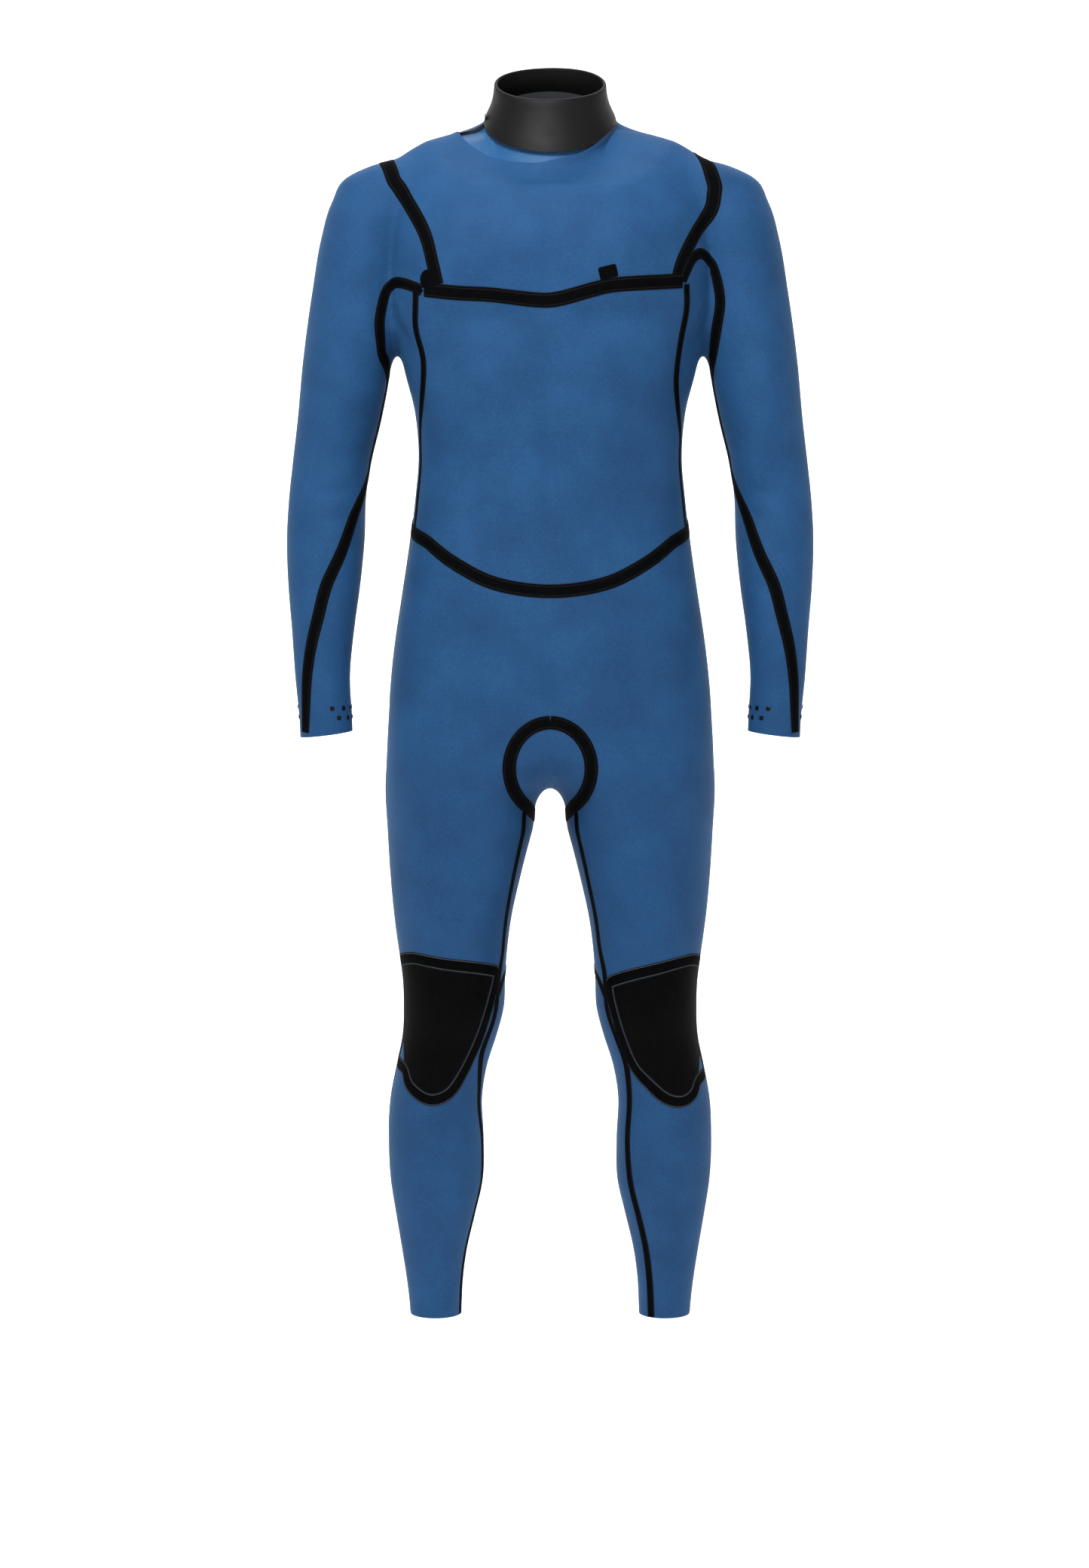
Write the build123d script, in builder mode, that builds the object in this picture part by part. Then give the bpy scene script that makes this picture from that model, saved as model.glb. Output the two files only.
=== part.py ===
from build123d import *
from math import cos, sin, pi, copysign, radians, tan
import os

# Full-length wetsuit, worn inside out, standing as it hangs on a wearer.
# Millimetres.  +Z up, the chest faces -Y, the wearer's left side is +X.
# The origin is on the body's centre line at the height of the ankle hems.

# ---- driving dimensions -------------------------------------------------
TRUNK_WALL = 4.0          # neoprene sheet of the trunk
LIMB_WALL = 3.0           # neoprene sheet of the sleeves and legs
TAPE = 0.8                # thickness of the seam tape
WIDE_TAPE = 16.0          # width of the chest, waist, shoulder and crotch tapes
NARROW_TAPE = 9.0         # width of the side and inside-leg tapes
HIP_LINE = 700.0          # height where the trunk meets the two legs
SIDE_Y = 8.0              # depth of the line that parts front from back
ARMPIT_X, ARMPIT_Z = 182.0, 1121.0
ELBOW_TOP, ELBOW_BOTTOM = 1012.0, 905.0
KNEE_TOP, KNEE_BOTTOM = 445.0, 305.0
SHOULDER_BAND = 75.0      # depth of the slanted band that bends at the shoulder
THIGH_TOP = 560.0         # highest point of the thigh below the hip's bend
THIGH_SLANT = 451.0       # the thigh ends where z = x + this, towards the crotch

CUFF_X, CUFF_Y, CUFF_Z = 260.0, -20.0, 690.0
CUFF_HEIGHT, CUFF_RADIUS = 38.0, 31.0
HEM_X, HEM_Y = 135.0, 20.0
HEM_HEIGHT, HEM_RADIUS = 26.0, 32.0
DOT = 5.0                 # side of a square grip dot
DOT_ROWS = (709.0, 720.0)
DOTS_PER_ROW = 10         # round the back of the cuff, clear of the tape
DOT_FIRST, DOT_PITCH = 19.0, 27.7     # degrees from the front, and between dots

COLLAR_Z = 1400.0         # seam between the collar and the trunk, at the sides
COLLAR_SLOPE = 30.0       # degrees the seam drops towards the front
COLLAR_TOP_SLOPE = 24.0   # degrees the top edge drops towards the front
COLLAR_HEIGHT = 39.5      # at the sides
COLLAR_WIDTH = (76.0, 69.0, 65.0)   # half widths from the seam to the top edge
COLLAR_DEPTH = (76.0, 66.0, 60.0)   # half depths
COLLAR_Y = 11.0
FLAP_WALL = 2.5           # neck flap under the chest panel's free edge
FLAP_GAP = 0.5
FLAP_LENGTH = 45.0
FLAP_REACH = 112.0        # the flap ends this far from the centre line
COLLAR_GAP = 0.5          # between the collar and the trunk, which it tilts on
TAB_PLACE, TAB_TURN = (67.0, 1224.0), 14.0    # small patch above the chest tape
TAB_WIDTH, TAB_HEIGHT, TAB_CORNER = 21.0, 14.0, 3.0
SLIVER = 2.0              # cubic millimetres, the smallest bit that is kept
FAR = 900.0               # larger than the suit is wide or deep

# Cross-sections: height, centre x, centre y, half width, half depth, squareness
TRUNK = [
    (HIP_LINE, 0, 10, 190, 115, 2.4),
    (770, 0, 10, 183, 116, 2.4),
    (850, 0, 7, 170, 111, 2.4),
    (930, 0, 4, 161, 106, 2.4),
    (1010, 0, 3, 153, 106, 2.4),
    (1080, 0, 4, 162, 113, 2.4),
    (1160, 0, 4, 182, 121, 2.4),
    (1240, 0, 4, 190, 122, 2.4),
    (1310, 0, 5, 187, 112, 2.3),
    (1352, 0, 9, 172, 90, 2.2),
    (1382, 0, 11, 126, 73, 2.1),
    (1404, 0, 12, 78, 65, 2.0),
    (1442, 0, 11, 70, 60, 2.0),
]
ARM = [
    (1352, 168, 12, 26, 36, 2.0),
    (1334, 178, 11, 50, 56, 2.0),
    (1305, 195, 10, 58, 62, 2.0),
    (1262, 210, 10, 57, 62, 2.0),
    (1200, 221, 12, 56, 60, 2.0),
    (1121, 235, 14, 52, 57, 2.0),
    (1050, 246, 16, 48, 52, 2.0),
    (963, 259, 17, 45, 48, 2.0),
    (900, 262, 12, 45, 48, 2.0),
    (840, 263, 2, 40, 44, 2.0),
    (780, 264, -11, 34, 36, 2.0),
    (CUFF_Z + CUFF_HEIGHT, CUFF_X, CUFF_Y, CUFF_RADIUS, CUFF_RADIUS, 2.0),
]
LEG = [
    (HIP_LINE, 0, 10, 190, 115, 2.4),
    (660, 66, 9, 125, 110, 2.3),
    (625, 98.5, 7, 94, 102, 2.2),
    (540, 109, 3, 80, 89, 2.1),
    (485, 113, -1, 70, 80, 2.1),
    (430, 113, -4, 63, 70, 2.1),
    (375, 112, -4, 58, 64, 2.1),
    (320, 122, 2, 53, 59, 2.0),
    (262, 132, 12, 54, 63, 2.0),
    (207, 134, 18, 56, 66, 2.0),
    (150, 134, 20, 53, 60, 2.0),
    (95, 136, 20, 43, 48, 2.0),
    (HEM_HEIGHT, HEM_X, HEM_Y, HEM_RADIUS, HEM_RADIUS, 2.0),
]

# Seam lines as (x, z) seen from the front; the wearer's left side has x above 0
NECK_EDGE = [(-107, 1391), (-104, 1379), (-90, 1366), (-69, 1354), (-45, 1349), (-15, 1348),
             (12, 1354), (33, 1360), (49, 1369), (65, 1382), (79, 1396)]
CHEST_SEAM = [(-146, 1203), (-69, 1197), (-17, 1191), (9, 1192), (53, 1204), (153, 1213)]
WAIST_SEAM = [(-180, 932), (-161, 931), (-145, 914), (-112, 886), (-64, 862), (0, 853),
              (64, 862), (112, 886), (145, 914), (161, 931), (180, 932)]
BACK_WAIST_SEAM = [(-180, 930), (-161, 931), (-100, 948), (0, 958), (100, 948), (161, 931),
                   (180, 930)]
SHOULDER_SEAM = {
    "left": [(180, 1385), (184, 1361), (190, 1324), (187, 1297), (170, 1271), (153, 1237),
             (147, 1219)],
    "right": [(-205, 1385), (-196, 1352), (-169, 1311), (-146, 1269), (-136, 1232),
              (-131, 1211)],
}
SIDE_SEAM = {
    "left": [(158, 1201), (158, 1180), (152, 1148), (147, 1114), (149, 1057), (151, 1035),
             (151, 990), (153, 922.5)],
    "right": [(-156, 1182), (-156, 1158), (-148, 1127), (-147, 1103), (-150, 1062),
              (-151, 1035), (-151, 990), (-153, 922.5)],
}
UNDERARM_SEAM = {
    "left": [(153, 1213), (173, 1243), (191, 1222), (197, 1190), (193, 1158), (190, 1121),
             (198, 1060), (206, 1012)],
    "right": [(-149, 1202), (-180, 1211), (-195, 1184), (-198, 1162), (-193, 1121),
              (-198, 1060), (-206, 1012)],
}
SLEEVE_SEAM = [(206, 1012), (213, 985), (227, 940), (241, 900), (258, 862), (267, 827),
               (276, 790), (281, 754), (284, 728)]
INSIDE_LEG_SEAM = [(30, 592), (48, 515), (56, 445)]
KNEE_PAD = {
    "left": [(176, 428), (120, 418), (68, 404), (61, 388), (70, 347), (82, 311), (107, 273),
             (130, 252), (153, 246), (172, 256), (184, 273)],
    "right": [(-176, 430), (-120, 424), (-62, 416), (-55, 402), (-65, 359), (-76, 325),
              (-94, 286), (-112, 259), (-137, 248), (-160, 259), (-184, 273)],
}
# Lower inside-leg seam as (y, z) seen from the side
SHIN_SEAM = {
    "left": [(-18, 305), (-22, 262), (-24, 207), (-20, 150), (-17, 95), (-7, HEM_HEIGHT)],
    "right": [(-12, 305), (-3, 262), (1, 207), (4, 150), (8, 95), (11, HEM_HEIGHT)],
}
GUSSET_WIDTH, GUSSET_HEIGHT = 48.0, 54.0    # half sizes of the oval between the legs


# ---- geometry shared by the sub-parts -----------------------------------
def outline(half_width, half_depth, squareness, count=12):
    """Points of a rounded, slightly squared oval."""
    points = []
    for i in range(count):
        c, s = cos(2 * pi * i / count), sin(2 * pi * i / count)
        x = copysign(abs(c) ** (2 / squareness), c) * half_width
        y = copysign(abs(s) ** (2 / squareness), s) * half_depth
        points.append((x, y))
    return points


def body(stations, grow):
    """A closed body through the stations, every section grown by a margin."""
    with BuildPart() as shape:
        for z, x, y, half_width, half_depth, squareness in stations:
            oval = outline(half_width + grow, half_depth + grow, squareness)
            with BuildSketch(Plane.XY.offset(z)):
                with BuildLine():
                    Spline(*[(x + px, y + py) for px, py in oval], periodic=True)
                make_face()
        loft()
    return shape.part


def region(points, plane=Plane.XZ, inset=0.0):
    """Everything in front of and behind a polygon drawn on a plane."""
    with BuildPart() as prism:
        with BuildSketch(plane):
            with BuildLine():
                Polyline(*points, close=True)
            make_face()
            if inset:
                offset(amount=-inset, kind=Kind.INTERSECTION)
        extrude(amount=FAR, both=True)
    return prism.part


def slab(low, high):
    return region([(-FAR, low), (FAR, low), (FAR, high), (-FAR, high)])


def oval_prism(grow):
    """Everything in front of and behind the crotch oval, grown by a margin."""
    with BuildPart() as prism:
        with BuildSketch(Plane.XZ):
            with Locations((0, HIP_LINE - GUSSET_HEIGHT)):
                Ellipse(GUSSET_WIDTH + grow, GUSSET_HEIGHT + grow)
        extrude(amount=FAR, both=True)
    return prism.part


def strip(points, width, plane=Plane.XZ):
    """Everything in front of and behind a ribbon that follows a smooth line."""
    with BuildPart() as prism:
        with BuildSketch(plane):
            with BuildLine():
                Spline(*points)
            trace(line_width=width)
        extrude(amount=FAR, both=True)
    return prism.part


def half_space(toward):
    """Everything in front of (-FAR) or behind (FAR) the side line."""
    return region([(toward, -FAR), (SIDE_Y, -FAR), (SIDE_Y, 2 * FAR), (toward, 2 * FAR)], Plane.YZ)


def mirrored(shape):
    with BuildPart() as other:
        add(mirror(shape, about=Plane.YZ, mode=Mode.PRIVATE))
    return other.part


def cut(shape, *keep):
    """The part of a shape that lies in every one of the regions."""
    with BuildPart() as piece:
        add(shape)
        for space in keep:
            add(space, mode=Mode.INTERSECT)
    return piece.part


def save(shape, name):
    """Writes a piece out, without the slivers that thin cuts leave."""
    solids = [solid for solid in shape.solids() if solid.volume > SLIVER]
    shape = solids[0] if len(solids) == 1 else Compound(children=solids)
    shape.label = name
    export_step(shape, "parts/" + name + ".step")


def hand_side(shift):
    """Everything on the hand's side of the slanted line through the armpit, moved by shift."""
    # 0.8 x - 0.6 z is the same all along the line, which runs up and outwards
    start = ARMPIT_Z - shift / 0.6
    rise = FAR
    return region([(ARMPIT_X, 0), (ARMPIT_X, start), (ARMPIT_X + 0.75 * rise, start + rise),
                   (2 * FAR, start + rise), (2 * FAR, 0)])


def ring(x, y, z, height, radius, wall):
    with BuildPart() as band:
        with BuildSketch(Plane.XY.offset(z)):
            with Locations((x, y)):
                Circle(radius)
                Circle(radius - wall, mode=Mode.SUBTRACT)
        extrude(amount=height)
    return band.part


def tilted_half(slope, height, keep):
    """Half space above or below the plane that slopes down to the front."""
    rise = tan(radians(slope)) * FAR
    edge = [(COLLAR_Y - FAR, height - rise), (COLLAR_Y + FAR, height + rise)]
    limit = 3 * FAR if keep == "above" else -2 * FAR
    return region(edge + [(COLLAR_Y + FAR, limit), (COLLAR_Y - FAR, limit)], Plane.YZ)


os.makedirs("parts", exist_ok=True)
FRONT, BACK = half_space(-FAR), half_space(FAR)
SIDES = {"left": 1, "right": -1}

trunk_outer = body(TRUNK, 0)
trunk_inner = body(TRUNK, -TRUNK_WALL)
arm_outer = body(ARM, 0)
arm_inner = body(ARM, -LIMB_WALL)
leg_outer = body(LEG, 0)
leg_inner = body(LEG, -LIMB_WALL)
below_collar = tilted_half(COLLAR_SLOPE, COLLAR_Z, "below")

with BuildPart() as trunk_wall:
    add(trunk_outer)
    add(trunk_inner, mode=Mode.SUBTRACT)
    add(arm_outer, mode=Mode.SUBTRACT)
    add(mirrored(arm_outer), mode=Mode.SUBTRACT)
    add(below_collar, mode=Mode.INTERSECT)

with BuildPart() as arm_wall:
    add(arm_outer)
    add(arm_inner, mode=Mode.SUBTRACT)
    add(trunk_inner, mode=Mode.SUBTRACT)

with BuildPart() as leg_wall:
    add(leg_outer)
    add(leg_inner, mode=Mode.SUBTRACT)
    split(bisect_by=Plane.YZ, keep=Keep.TOP)

with BuildPart() as trunk_tape:
    add(body(TRUNK, TAPE))
    add(trunk_outer, mode=Mode.SUBTRACT)
    add(arm_outer, mode=Mode.SUBTRACT)
    add(mirrored(arm_outer), mode=Mode.SUBTRACT)

with BuildPart() as arm_tape:
    add(body(ARM, TAPE))
    add(arm_outer, mode=Mode.SUBTRACT)
    add(trunk_outer, mode=Mode.SUBTRACT)

with BuildPart() as leg_tape:
    add(body(LEG, TAPE))
    add(leg_outer, mode=Mode.SUBTRACT)
    split(bisect_by=Plane.YZ, keep=Keep.TOP)

# What repeats on both sides is made once on the left and mirrored
walls = {"left": arm_wall.part, "right": mirrored(arm_wall.part)}
arm_tapes = {"left": arm_tape.part, "right": mirrored(arm_tape.part)}
legs = {"left": leg_wall.part, "right": mirrored(leg_wall.part)}
leg_tapes = {"left": leg_tape.part, "right": mirrored(leg_tape.part)}
beyond_armpit = {"left": hand_side(0), "right": mirrored(hand_side(0))}
beyond_shoulder = {"left": hand_side(SHOULDER_BAND), "right": mirrored(hand_side(SHOULDER_BAND))}


def side_region(side):
    """The panel under the arm: from the waist up the trunk and round into the armhole."""
    sign = SIDES[side]
    loop = UNDERARM_SEAM[side][:-2]
    bottom = [(sign * 182, 1090), (sign * 180, 932), (sign * 161, 931)]
    return region(SIDE_SEAM[side][::-1] + loop + bottom)


def cap_region(side):
    """Everything outside the seam that runs up to the shoulder."""
    sign = SIDES[side]
    loop = UNDERARM_SEAM[side][:-2]
    around = [(sign * 450, 1385), (sign * 450, 1100), (loop[-1][0], 1100)]
    return region(SHOULDER_SEAM[side][::-1] + around + loop[::-1])


side_regions = {side: side_region(side) for side in SIDES}
cap_regions = {side: cap_region(side) for side in SIDES}
chest_outline = (CHEST_SEAM + SHOULDER_SEAM["left"][::-1] + [(120, 1430), (80, 1430)]
                 + NECK_EDGE[::-1] + [(-108, 1430)] + SHOULDER_SEAM["right"])
belly_outline = (CHEST_SEAM[::-1] + SIDE_SEAM["right"] + WAIST_SEAM[2:-2]
                 + SIDE_SEAM["left"][::-1])
gusset_prism = oval_prism(0)

armhole_panels = {}

# ---- trunk --------------------------------------------------------------
with BuildPart() as chest_panel:
    add(trunk_wall.part)
    add(FRONT, mode=Mode.INTERSECT)
    add(region(chest_outline), mode=Mode.INTERSECT)
save(chest_panel.part, "chest_panel")

with BuildPart() as belly_panel:
    add(trunk_wall.part)
    add(FRONT, mode=Mode.INTERSECT)
    add(region(belly_outline), mode=Mode.INTERSECT)
save(belly_panel.part, "belly_panel")

with BuildPart() as front_hip_panel:
    add(trunk_wall.part)
    add(FRONT, mode=Mode.INTERSECT)
    add(region([(-FAR, HIP_LINE), (-FAR, 932)] + WAIST_SEAM + [(FAR, 932), (FAR, HIP_LINE)]),
        mode=Mode.INTERSECT)
save(front_hip_panel.part, "front_hip_panel")

with BuildPart() as seat_panel:
    add(trunk_wall.part)
    add(BACK, mode=Mode.INTERSECT)
    add(region([(-FAR, HIP_LINE), (-FAR, 930)] + BACK_WAIST_SEAM + [(FAR, 930), (FAR, HIP_LINE)]),
        mode=Mode.INTERSECT)
save(seat_panel.part, "seat_panel")
below_back_waist = cut(region([(-FAR, 0), (-FAR, 930)] + BACK_WAIST_SEAM + [(FAR, 930), (FAR, 0)]),
                       BACK)

with BuildPart() as upper_back_panel:
    add(trunk_wall.part)
    add(BACK, mode=Mode.INTERSECT)
    add(region(BACK_WAIST_SEAM + [(FAR, 930), (FAR, 2 * FAR), (-FAR, 2 * FAR), (-FAR, 930)]),
        mode=Mode.INTERSECT)
    for side in SIDES:
        add(side_regions[side], mode=Mode.SUBTRACT)
        add(cap_regions[side], mode=Mode.SUBTRACT)
save(upper_back_panel.part, "upper_back_panel")

for side in SIDES:
    with BuildPart() as side_panel:
        add(cut(trunk_wall.part, side_regions[side]))
        add(cut(walls[side], side_regions[side]))
        add(beyond_armpit[side], mode=Mode.SUBTRACT)
        add(below_back_waist, mode=Mode.SUBTRACT)
    save(side_panel.part, side + "_side_panel")

    with BuildPart() as sleeve_cap:
        add(cut(trunk_wall.part, cap_regions[side]))
        add(cut(walls[side], cap_regions[side]))
        add(beyond_armpit[side], mode=Mode.SUBTRACT)
    save(sleeve_cap.part, side + "_sleeve_cap")
    armhole_panels[side] = [side_panel.part, sleeve_cap.part]

with BuildPart() as crotch_gusset:
    for side in SIDES:
        add(legs[side])
    add(gusset_prism, mode=Mode.INTERSECT)
save(crotch_gusset.part, "crotch_gusset")

# ---- sleeves ------------------------------------------------------------
for side in SIDES:
    with BuildPart() as shoulder_sleeve:
        add(walls[side])
        add(beyond_armpit[side], mode=Mode.INTERSECT)
        add(beyond_shoulder[side], mode=Mode.SUBTRACT)
    save(shoulder_sleeve.part, side + "_shoulder_sleeve")

    with BuildPart() as upper_sleeve:
        add(walls[side])
        add(beyond_shoulder[side], mode=Mode.INTERSECT)
        add(slab(ELBOW_TOP, HIP_LINE + FAR), mode=Mode.INTERSECT)
    save(upper_sleeve.part, side + "_upper_sleeve")

    with BuildPart() as elbow_sleeve:
        add(walls[side])
        add(slab(ELBOW_BOTTOM, ELBOW_TOP), mode=Mode.INTERSECT)
    save(elbow_sleeve.part, side + "_elbow_sleeve")

    with BuildPart() as forearm_sleeve:
        add(walls[side])
        add(slab(CUFF_Z, ELBOW_BOTTOM), mode=Mode.INTERSECT)
    save(forearm_sleeve.part, side + "_forearm_sleeve")

    sign = SIDES[side]
    cuff_x = sign * CUFF_X
    with BuildPart() as cuff_band:
        add(ring(cuff_x, CUFF_Y, CUFF_Z, CUFF_HEIGHT, CUFF_RADIUS, LIMB_WALL))
    save(cuff_band.part, side + "_cuff_band")

    with BuildPart() as grip_dots:
        for row, z in enumerate(DOT_ROWS):
            first = DOT_FIRST + row * DOT_PITCH / 2
            with Locations((cuff_x, CUFF_Y, z)):
                with PolarLocations(CUFF_RADIUS, DOTS_PER_ROW, start_angle=-90 - sign * first,
                                    angular_range=-sign * DOT_PITCH * DOTS_PER_ROW):
                    Box(2 * TAPE, DOT, DOT)
        with Locations((cuff_x, CUFF_Y, CUFF_Z)):
            Cylinder(CUFF_RADIUS, CUFF_HEIGHT, mode=Mode.SUBTRACT,
                     align=(Align.CENTER, Align.CENTER, Align.MIN))
    save(grip_dots.part, side + "_grip_dots")

# ---- legs ---------------------------------------------------------------
for side in SIDES:
    sign = SIDES[side]
    thigh_region = region([(sign * (KNEE_TOP - THIGH_SLANT), KNEE_TOP),
                           (sign * (THIGH_TOP - THIGH_SLANT), THIGH_TOP),
                           (sign * 300, THIGH_TOP), (sign * 300, KNEE_TOP)])
    pad_prism = region(KNEE_PAD[side], inset=WIDE_TAPE / 2)

    with BuildPart() as thigh_panel:
        add(legs[side])
        add(thigh_region, mode=Mode.INTERSECT)
    save(thigh_panel.part, side + "_thigh_panel")

    with BuildPart() as hip_panel:
        add(legs[side])
        add(slab(KNEE_TOP, HIP_LINE), mode=Mode.INTERSECT)
        add(thigh_region, mode=Mode.SUBTRACT)
        add(gusset_prism, mode=Mode.SUBTRACT)
    save(hip_panel.part, side + "_hip_panel")

    with BuildPart() as pad_space:
        add(pad_prism)
        add(FRONT, mode=Mode.INTERSECT)

    with BuildPart() as knee_pad:
        add(legs[side])
        add(pad_space.part, mode=Mode.INTERSECT)
    save(knee_pad.part, side + "_knee_pad")

    with BuildPart() as knee_sleeve:
        add(legs[side])
        add(slab(KNEE_BOTTOM, KNEE_TOP), mode=Mode.INTERSECT)
        add(pad_space.part, mode=Mode.SUBTRACT)
    save(knee_sleeve.part, side + "_knee_sleeve")

    with BuildPart() as shin_panel:
        add(legs[side])
        add(slab(0, KNEE_BOTTOM), mode=Mode.INTERSECT)
        add(FRONT, mode=Mode.INTERSECT)
        add(pad_space.part, mode=Mode.SUBTRACT)
    save(shin_panel.part, side + "_shin_panel")

    with BuildPart() as calf_panel:
        add(legs[side])
        add(slab(0, KNEE_BOTTOM), mode=Mode.INTERSECT)
        add(BACK, mode=Mode.INTERSECT)
    save(calf_panel.part, side + "_calf_panel")

    with BuildPart() as ankle_band:
        add(ring(sign * HEM_X, HEM_Y, 0, HEM_HEIGHT, HEM_RADIUS, LIMB_WALL))
    save(ankle_band.part, side + "_ankle_band")

# ---- neck ---------------------------------------------------------------
def neck_tube(grow):
    """The solid neck, from the sloping collar seam to the sloping top edge."""
    with BuildPart() as tube:
        for step, (half_width, half_depth) in enumerate(zip(COLLAR_WIDTH, COLLAR_DEPTH)):
            share = step / 2
            slope = radians(COLLAR_SLOPE + (COLLAR_TOP_SLOPE - COLLAR_SLOPE) * share)
            height = COLLAR_Z + COLLAR_GAP + COLLAR_HEIGHT * share
            level = Plane(origin=(0, COLLAR_Y, height), x_dir=(1, 0, 0),
                          z_dir=(0, -sin(slope), cos(slope)))
            with BuildSketch(level):
                Ellipse(half_width + grow, half_depth + grow)
        loft()
    return tube.part


with BuildPart() as collar:
    add(neck_tube(0))
    add(neck_tube(-LIMB_WALL), mode=Mode.SUBTRACT)
save(collar.part, "collar")

flap_outside = -TRUNK_WALL - FLAP_GAP
flap_space = [below_collar, tilted_half(COLLAR_SLOPE, COLLAR_Z - FLAP_LENGTH, "above"),
              region([(-FLAP_REACH, 0), (FLAP_REACH, 0), (FLAP_REACH, 2 * FAR), (-FLAP_REACH, 2 * FAR)])]
with BuildPart() as neck_flap:
    add(cut(body(TRUNK, flap_outside), *flap_space))
    add(body(TRUNK, flap_outside - FLAP_WALL), mode=Mode.SUBTRACT)
save(neck_flap.part, "neck_flap")

# ---- seam tapes, glued on the outside of the panels ----------------------
chest_strip = strip(CHEST_SEAM, WIDE_TAPE)
oval_ring = oval_prism(WIDE_TAPE / 2)
shoulder_strips = {side: strip(SHOULDER_SEAM[side], WIDE_TAPE) for side in SIDES}
underarm_strips = {side: strip(UNDERARM_SEAM[side], NARROW_TAPE) for side in SIDES}

with BuildPart() as chest_tape:
    add(cut(trunk_tape.part, FRONT, chest_strip))
save(chest_tape.part, "chest_tape")

with BuildPart() as waist_tape:
    add(cut(trunk_tape.part, FRONT, strip(WAIST_SEAM, WIDE_TAPE)))
    add(cut(trunk_tape.part, BACK, strip(BACK_WAIST_SEAM, WIDE_TAPE)))
save(waist_tape.part, "waist_tape")

with BuildPart() as crotch_tape:
    add(cut(trunk_tape.part, oval_ring))
    for side in SIDES:
        add(cut(leg_tapes[side], oval_ring))
    add(oval_prism(-WIDE_TAPE / 2), mode=Mode.SUBTRACT)
save(crotch_tape.part, "crotch_tape")

with BuildPart() as chest_tab:
    with BuildSketch(Plane.XZ):
        with Locations(Location((*TAB_PLACE, 0), (0, 0, TAB_TURN))):
            RectangleRounded(TAB_WIDTH, TAB_HEIGHT, TAB_CORNER)
    extrude(amount=FAR, both=True)
    add(cut(trunk_tape.part, FRONT), mode=Mode.INTERSECT)
    add(chest_strip, mode=Mode.SUBTRACT)
save(chest_tab.part, "chest_tab")

for side in SIDES:
    sign = SIDES[side]
    with BuildPart() as shoulder_tape:
        add(cut(trunk_tape.part, shoulder_strips[side]))
        add(cut(arm_tapes[side], shoulder_strips[side]))
        add(chest_strip, mode=Mode.SUBTRACT)
        add(beyond_armpit[side], mode=Mode.SUBTRACT)
    save(shoulder_tape.part, side + "_shoulder_tape")

    with BuildPart() as side_tape:
        add(cut(trunk_tape.part, strip(SIDE_SEAM[side], NARROW_TAPE)))
        add(chest_strip, mode=Mode.SUBTRACT)
        add(shoulder_strips[side], mode=Mode.SUBTRACT)
        add(underarm_strips[side], mode=Mode.SUBTRACT)
        add(strip(WAIST_SEAM, WIDE_TAPE), mode=Mode.SUBTRACT)
        add(strip(BACK_WAIST_SEAM, WIDE_TAPE), mode=Mode.SUBTRACT)
    save(side_tape.part, side + "_side_tape")

    with BuildPart() as underarm_tape:
        add(cut(trunk_tape.part, underarm_strips[side]))
        add(cut(arm_tapes[side], underarm_strips[side]))
        add(chest_strip, mode=Mode.SUBTRACT)
        add(shoulder_strips[side], mode=Mode.SUBTRACT)
        add(armhole_panels[side], mode=Mode.SUBTRACT)
    save(underarm_tape.part, side + "_underarm_tape")

    with BuildPart() as forearm_tape:
        add(cut(arm_tapes[side], FRONT, strip([(sign * x, z) for x, z in SLEEVE_SEAM], WIDE_TAPE)))
        add(slab(0, ELBOW_TOP), mode=Mode.INTERSECT)
    save(forearm_tape.part, side + "_forearm_tape")

    with BuildPart() as inner_thigh_tape:
        add(cut(leg_tapes[side], FRONT,
                strip([(sign * x, z) for x, z in INSIDE_LEG_SEAM], NARROW_TAPE)))
        add(oval_ring, mode=Mode.SUBTRACT)
    save(inner_thigh_tape.part, side + "_inner_thigh_tape")

    with BuildPart() as knee_pad_tape:
        add(cut(leg_tapes[side], FRONT, region(KNEE_PAD[side])))
        add(region(KNEE_PAD[side], inset=WIDE_TAPE), mode=Mode.SUBTRACT)
    save(knee_pad_tape.part, side + "_knee_pad_tape")

    inside = region([(0, 0), (sign * 120, 0), (sign * 120, 2 * KNEE_TOP), (0, 2 * KNEE_TOP)])
    with BuildPart() as shin_tape:
        add(cut(leg_tapes[side], inside, strip(SHIN_SEAM[side], NARROW_TAPE, Plane.YZ)))
        add(region(KNEE_PAD[side]), mode=Mode.SUBTRACT)
    save(shin_tape.part, side + "_shin_tape")
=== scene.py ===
import math

import bmesh
import bpy
import numpy as np
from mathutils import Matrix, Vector
from mathutils.bvhtree import BVHTree


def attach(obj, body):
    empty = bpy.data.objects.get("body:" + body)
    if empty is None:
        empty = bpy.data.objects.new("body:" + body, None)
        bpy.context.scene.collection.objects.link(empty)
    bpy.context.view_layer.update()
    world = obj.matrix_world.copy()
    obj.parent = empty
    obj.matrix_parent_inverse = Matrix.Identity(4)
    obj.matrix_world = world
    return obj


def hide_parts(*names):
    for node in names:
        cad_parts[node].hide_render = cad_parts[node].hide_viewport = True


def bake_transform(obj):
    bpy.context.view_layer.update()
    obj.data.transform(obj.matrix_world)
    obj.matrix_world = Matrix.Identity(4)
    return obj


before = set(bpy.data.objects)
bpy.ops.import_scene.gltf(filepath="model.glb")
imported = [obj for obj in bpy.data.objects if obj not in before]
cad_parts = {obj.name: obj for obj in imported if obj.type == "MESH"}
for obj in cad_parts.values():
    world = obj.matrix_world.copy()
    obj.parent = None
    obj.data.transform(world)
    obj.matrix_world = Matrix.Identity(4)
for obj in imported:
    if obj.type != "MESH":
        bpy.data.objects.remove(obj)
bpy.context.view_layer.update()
MM = 0.001
SIDES = {"left": 1, "right": -1}          # the wearer's left is +X

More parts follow.
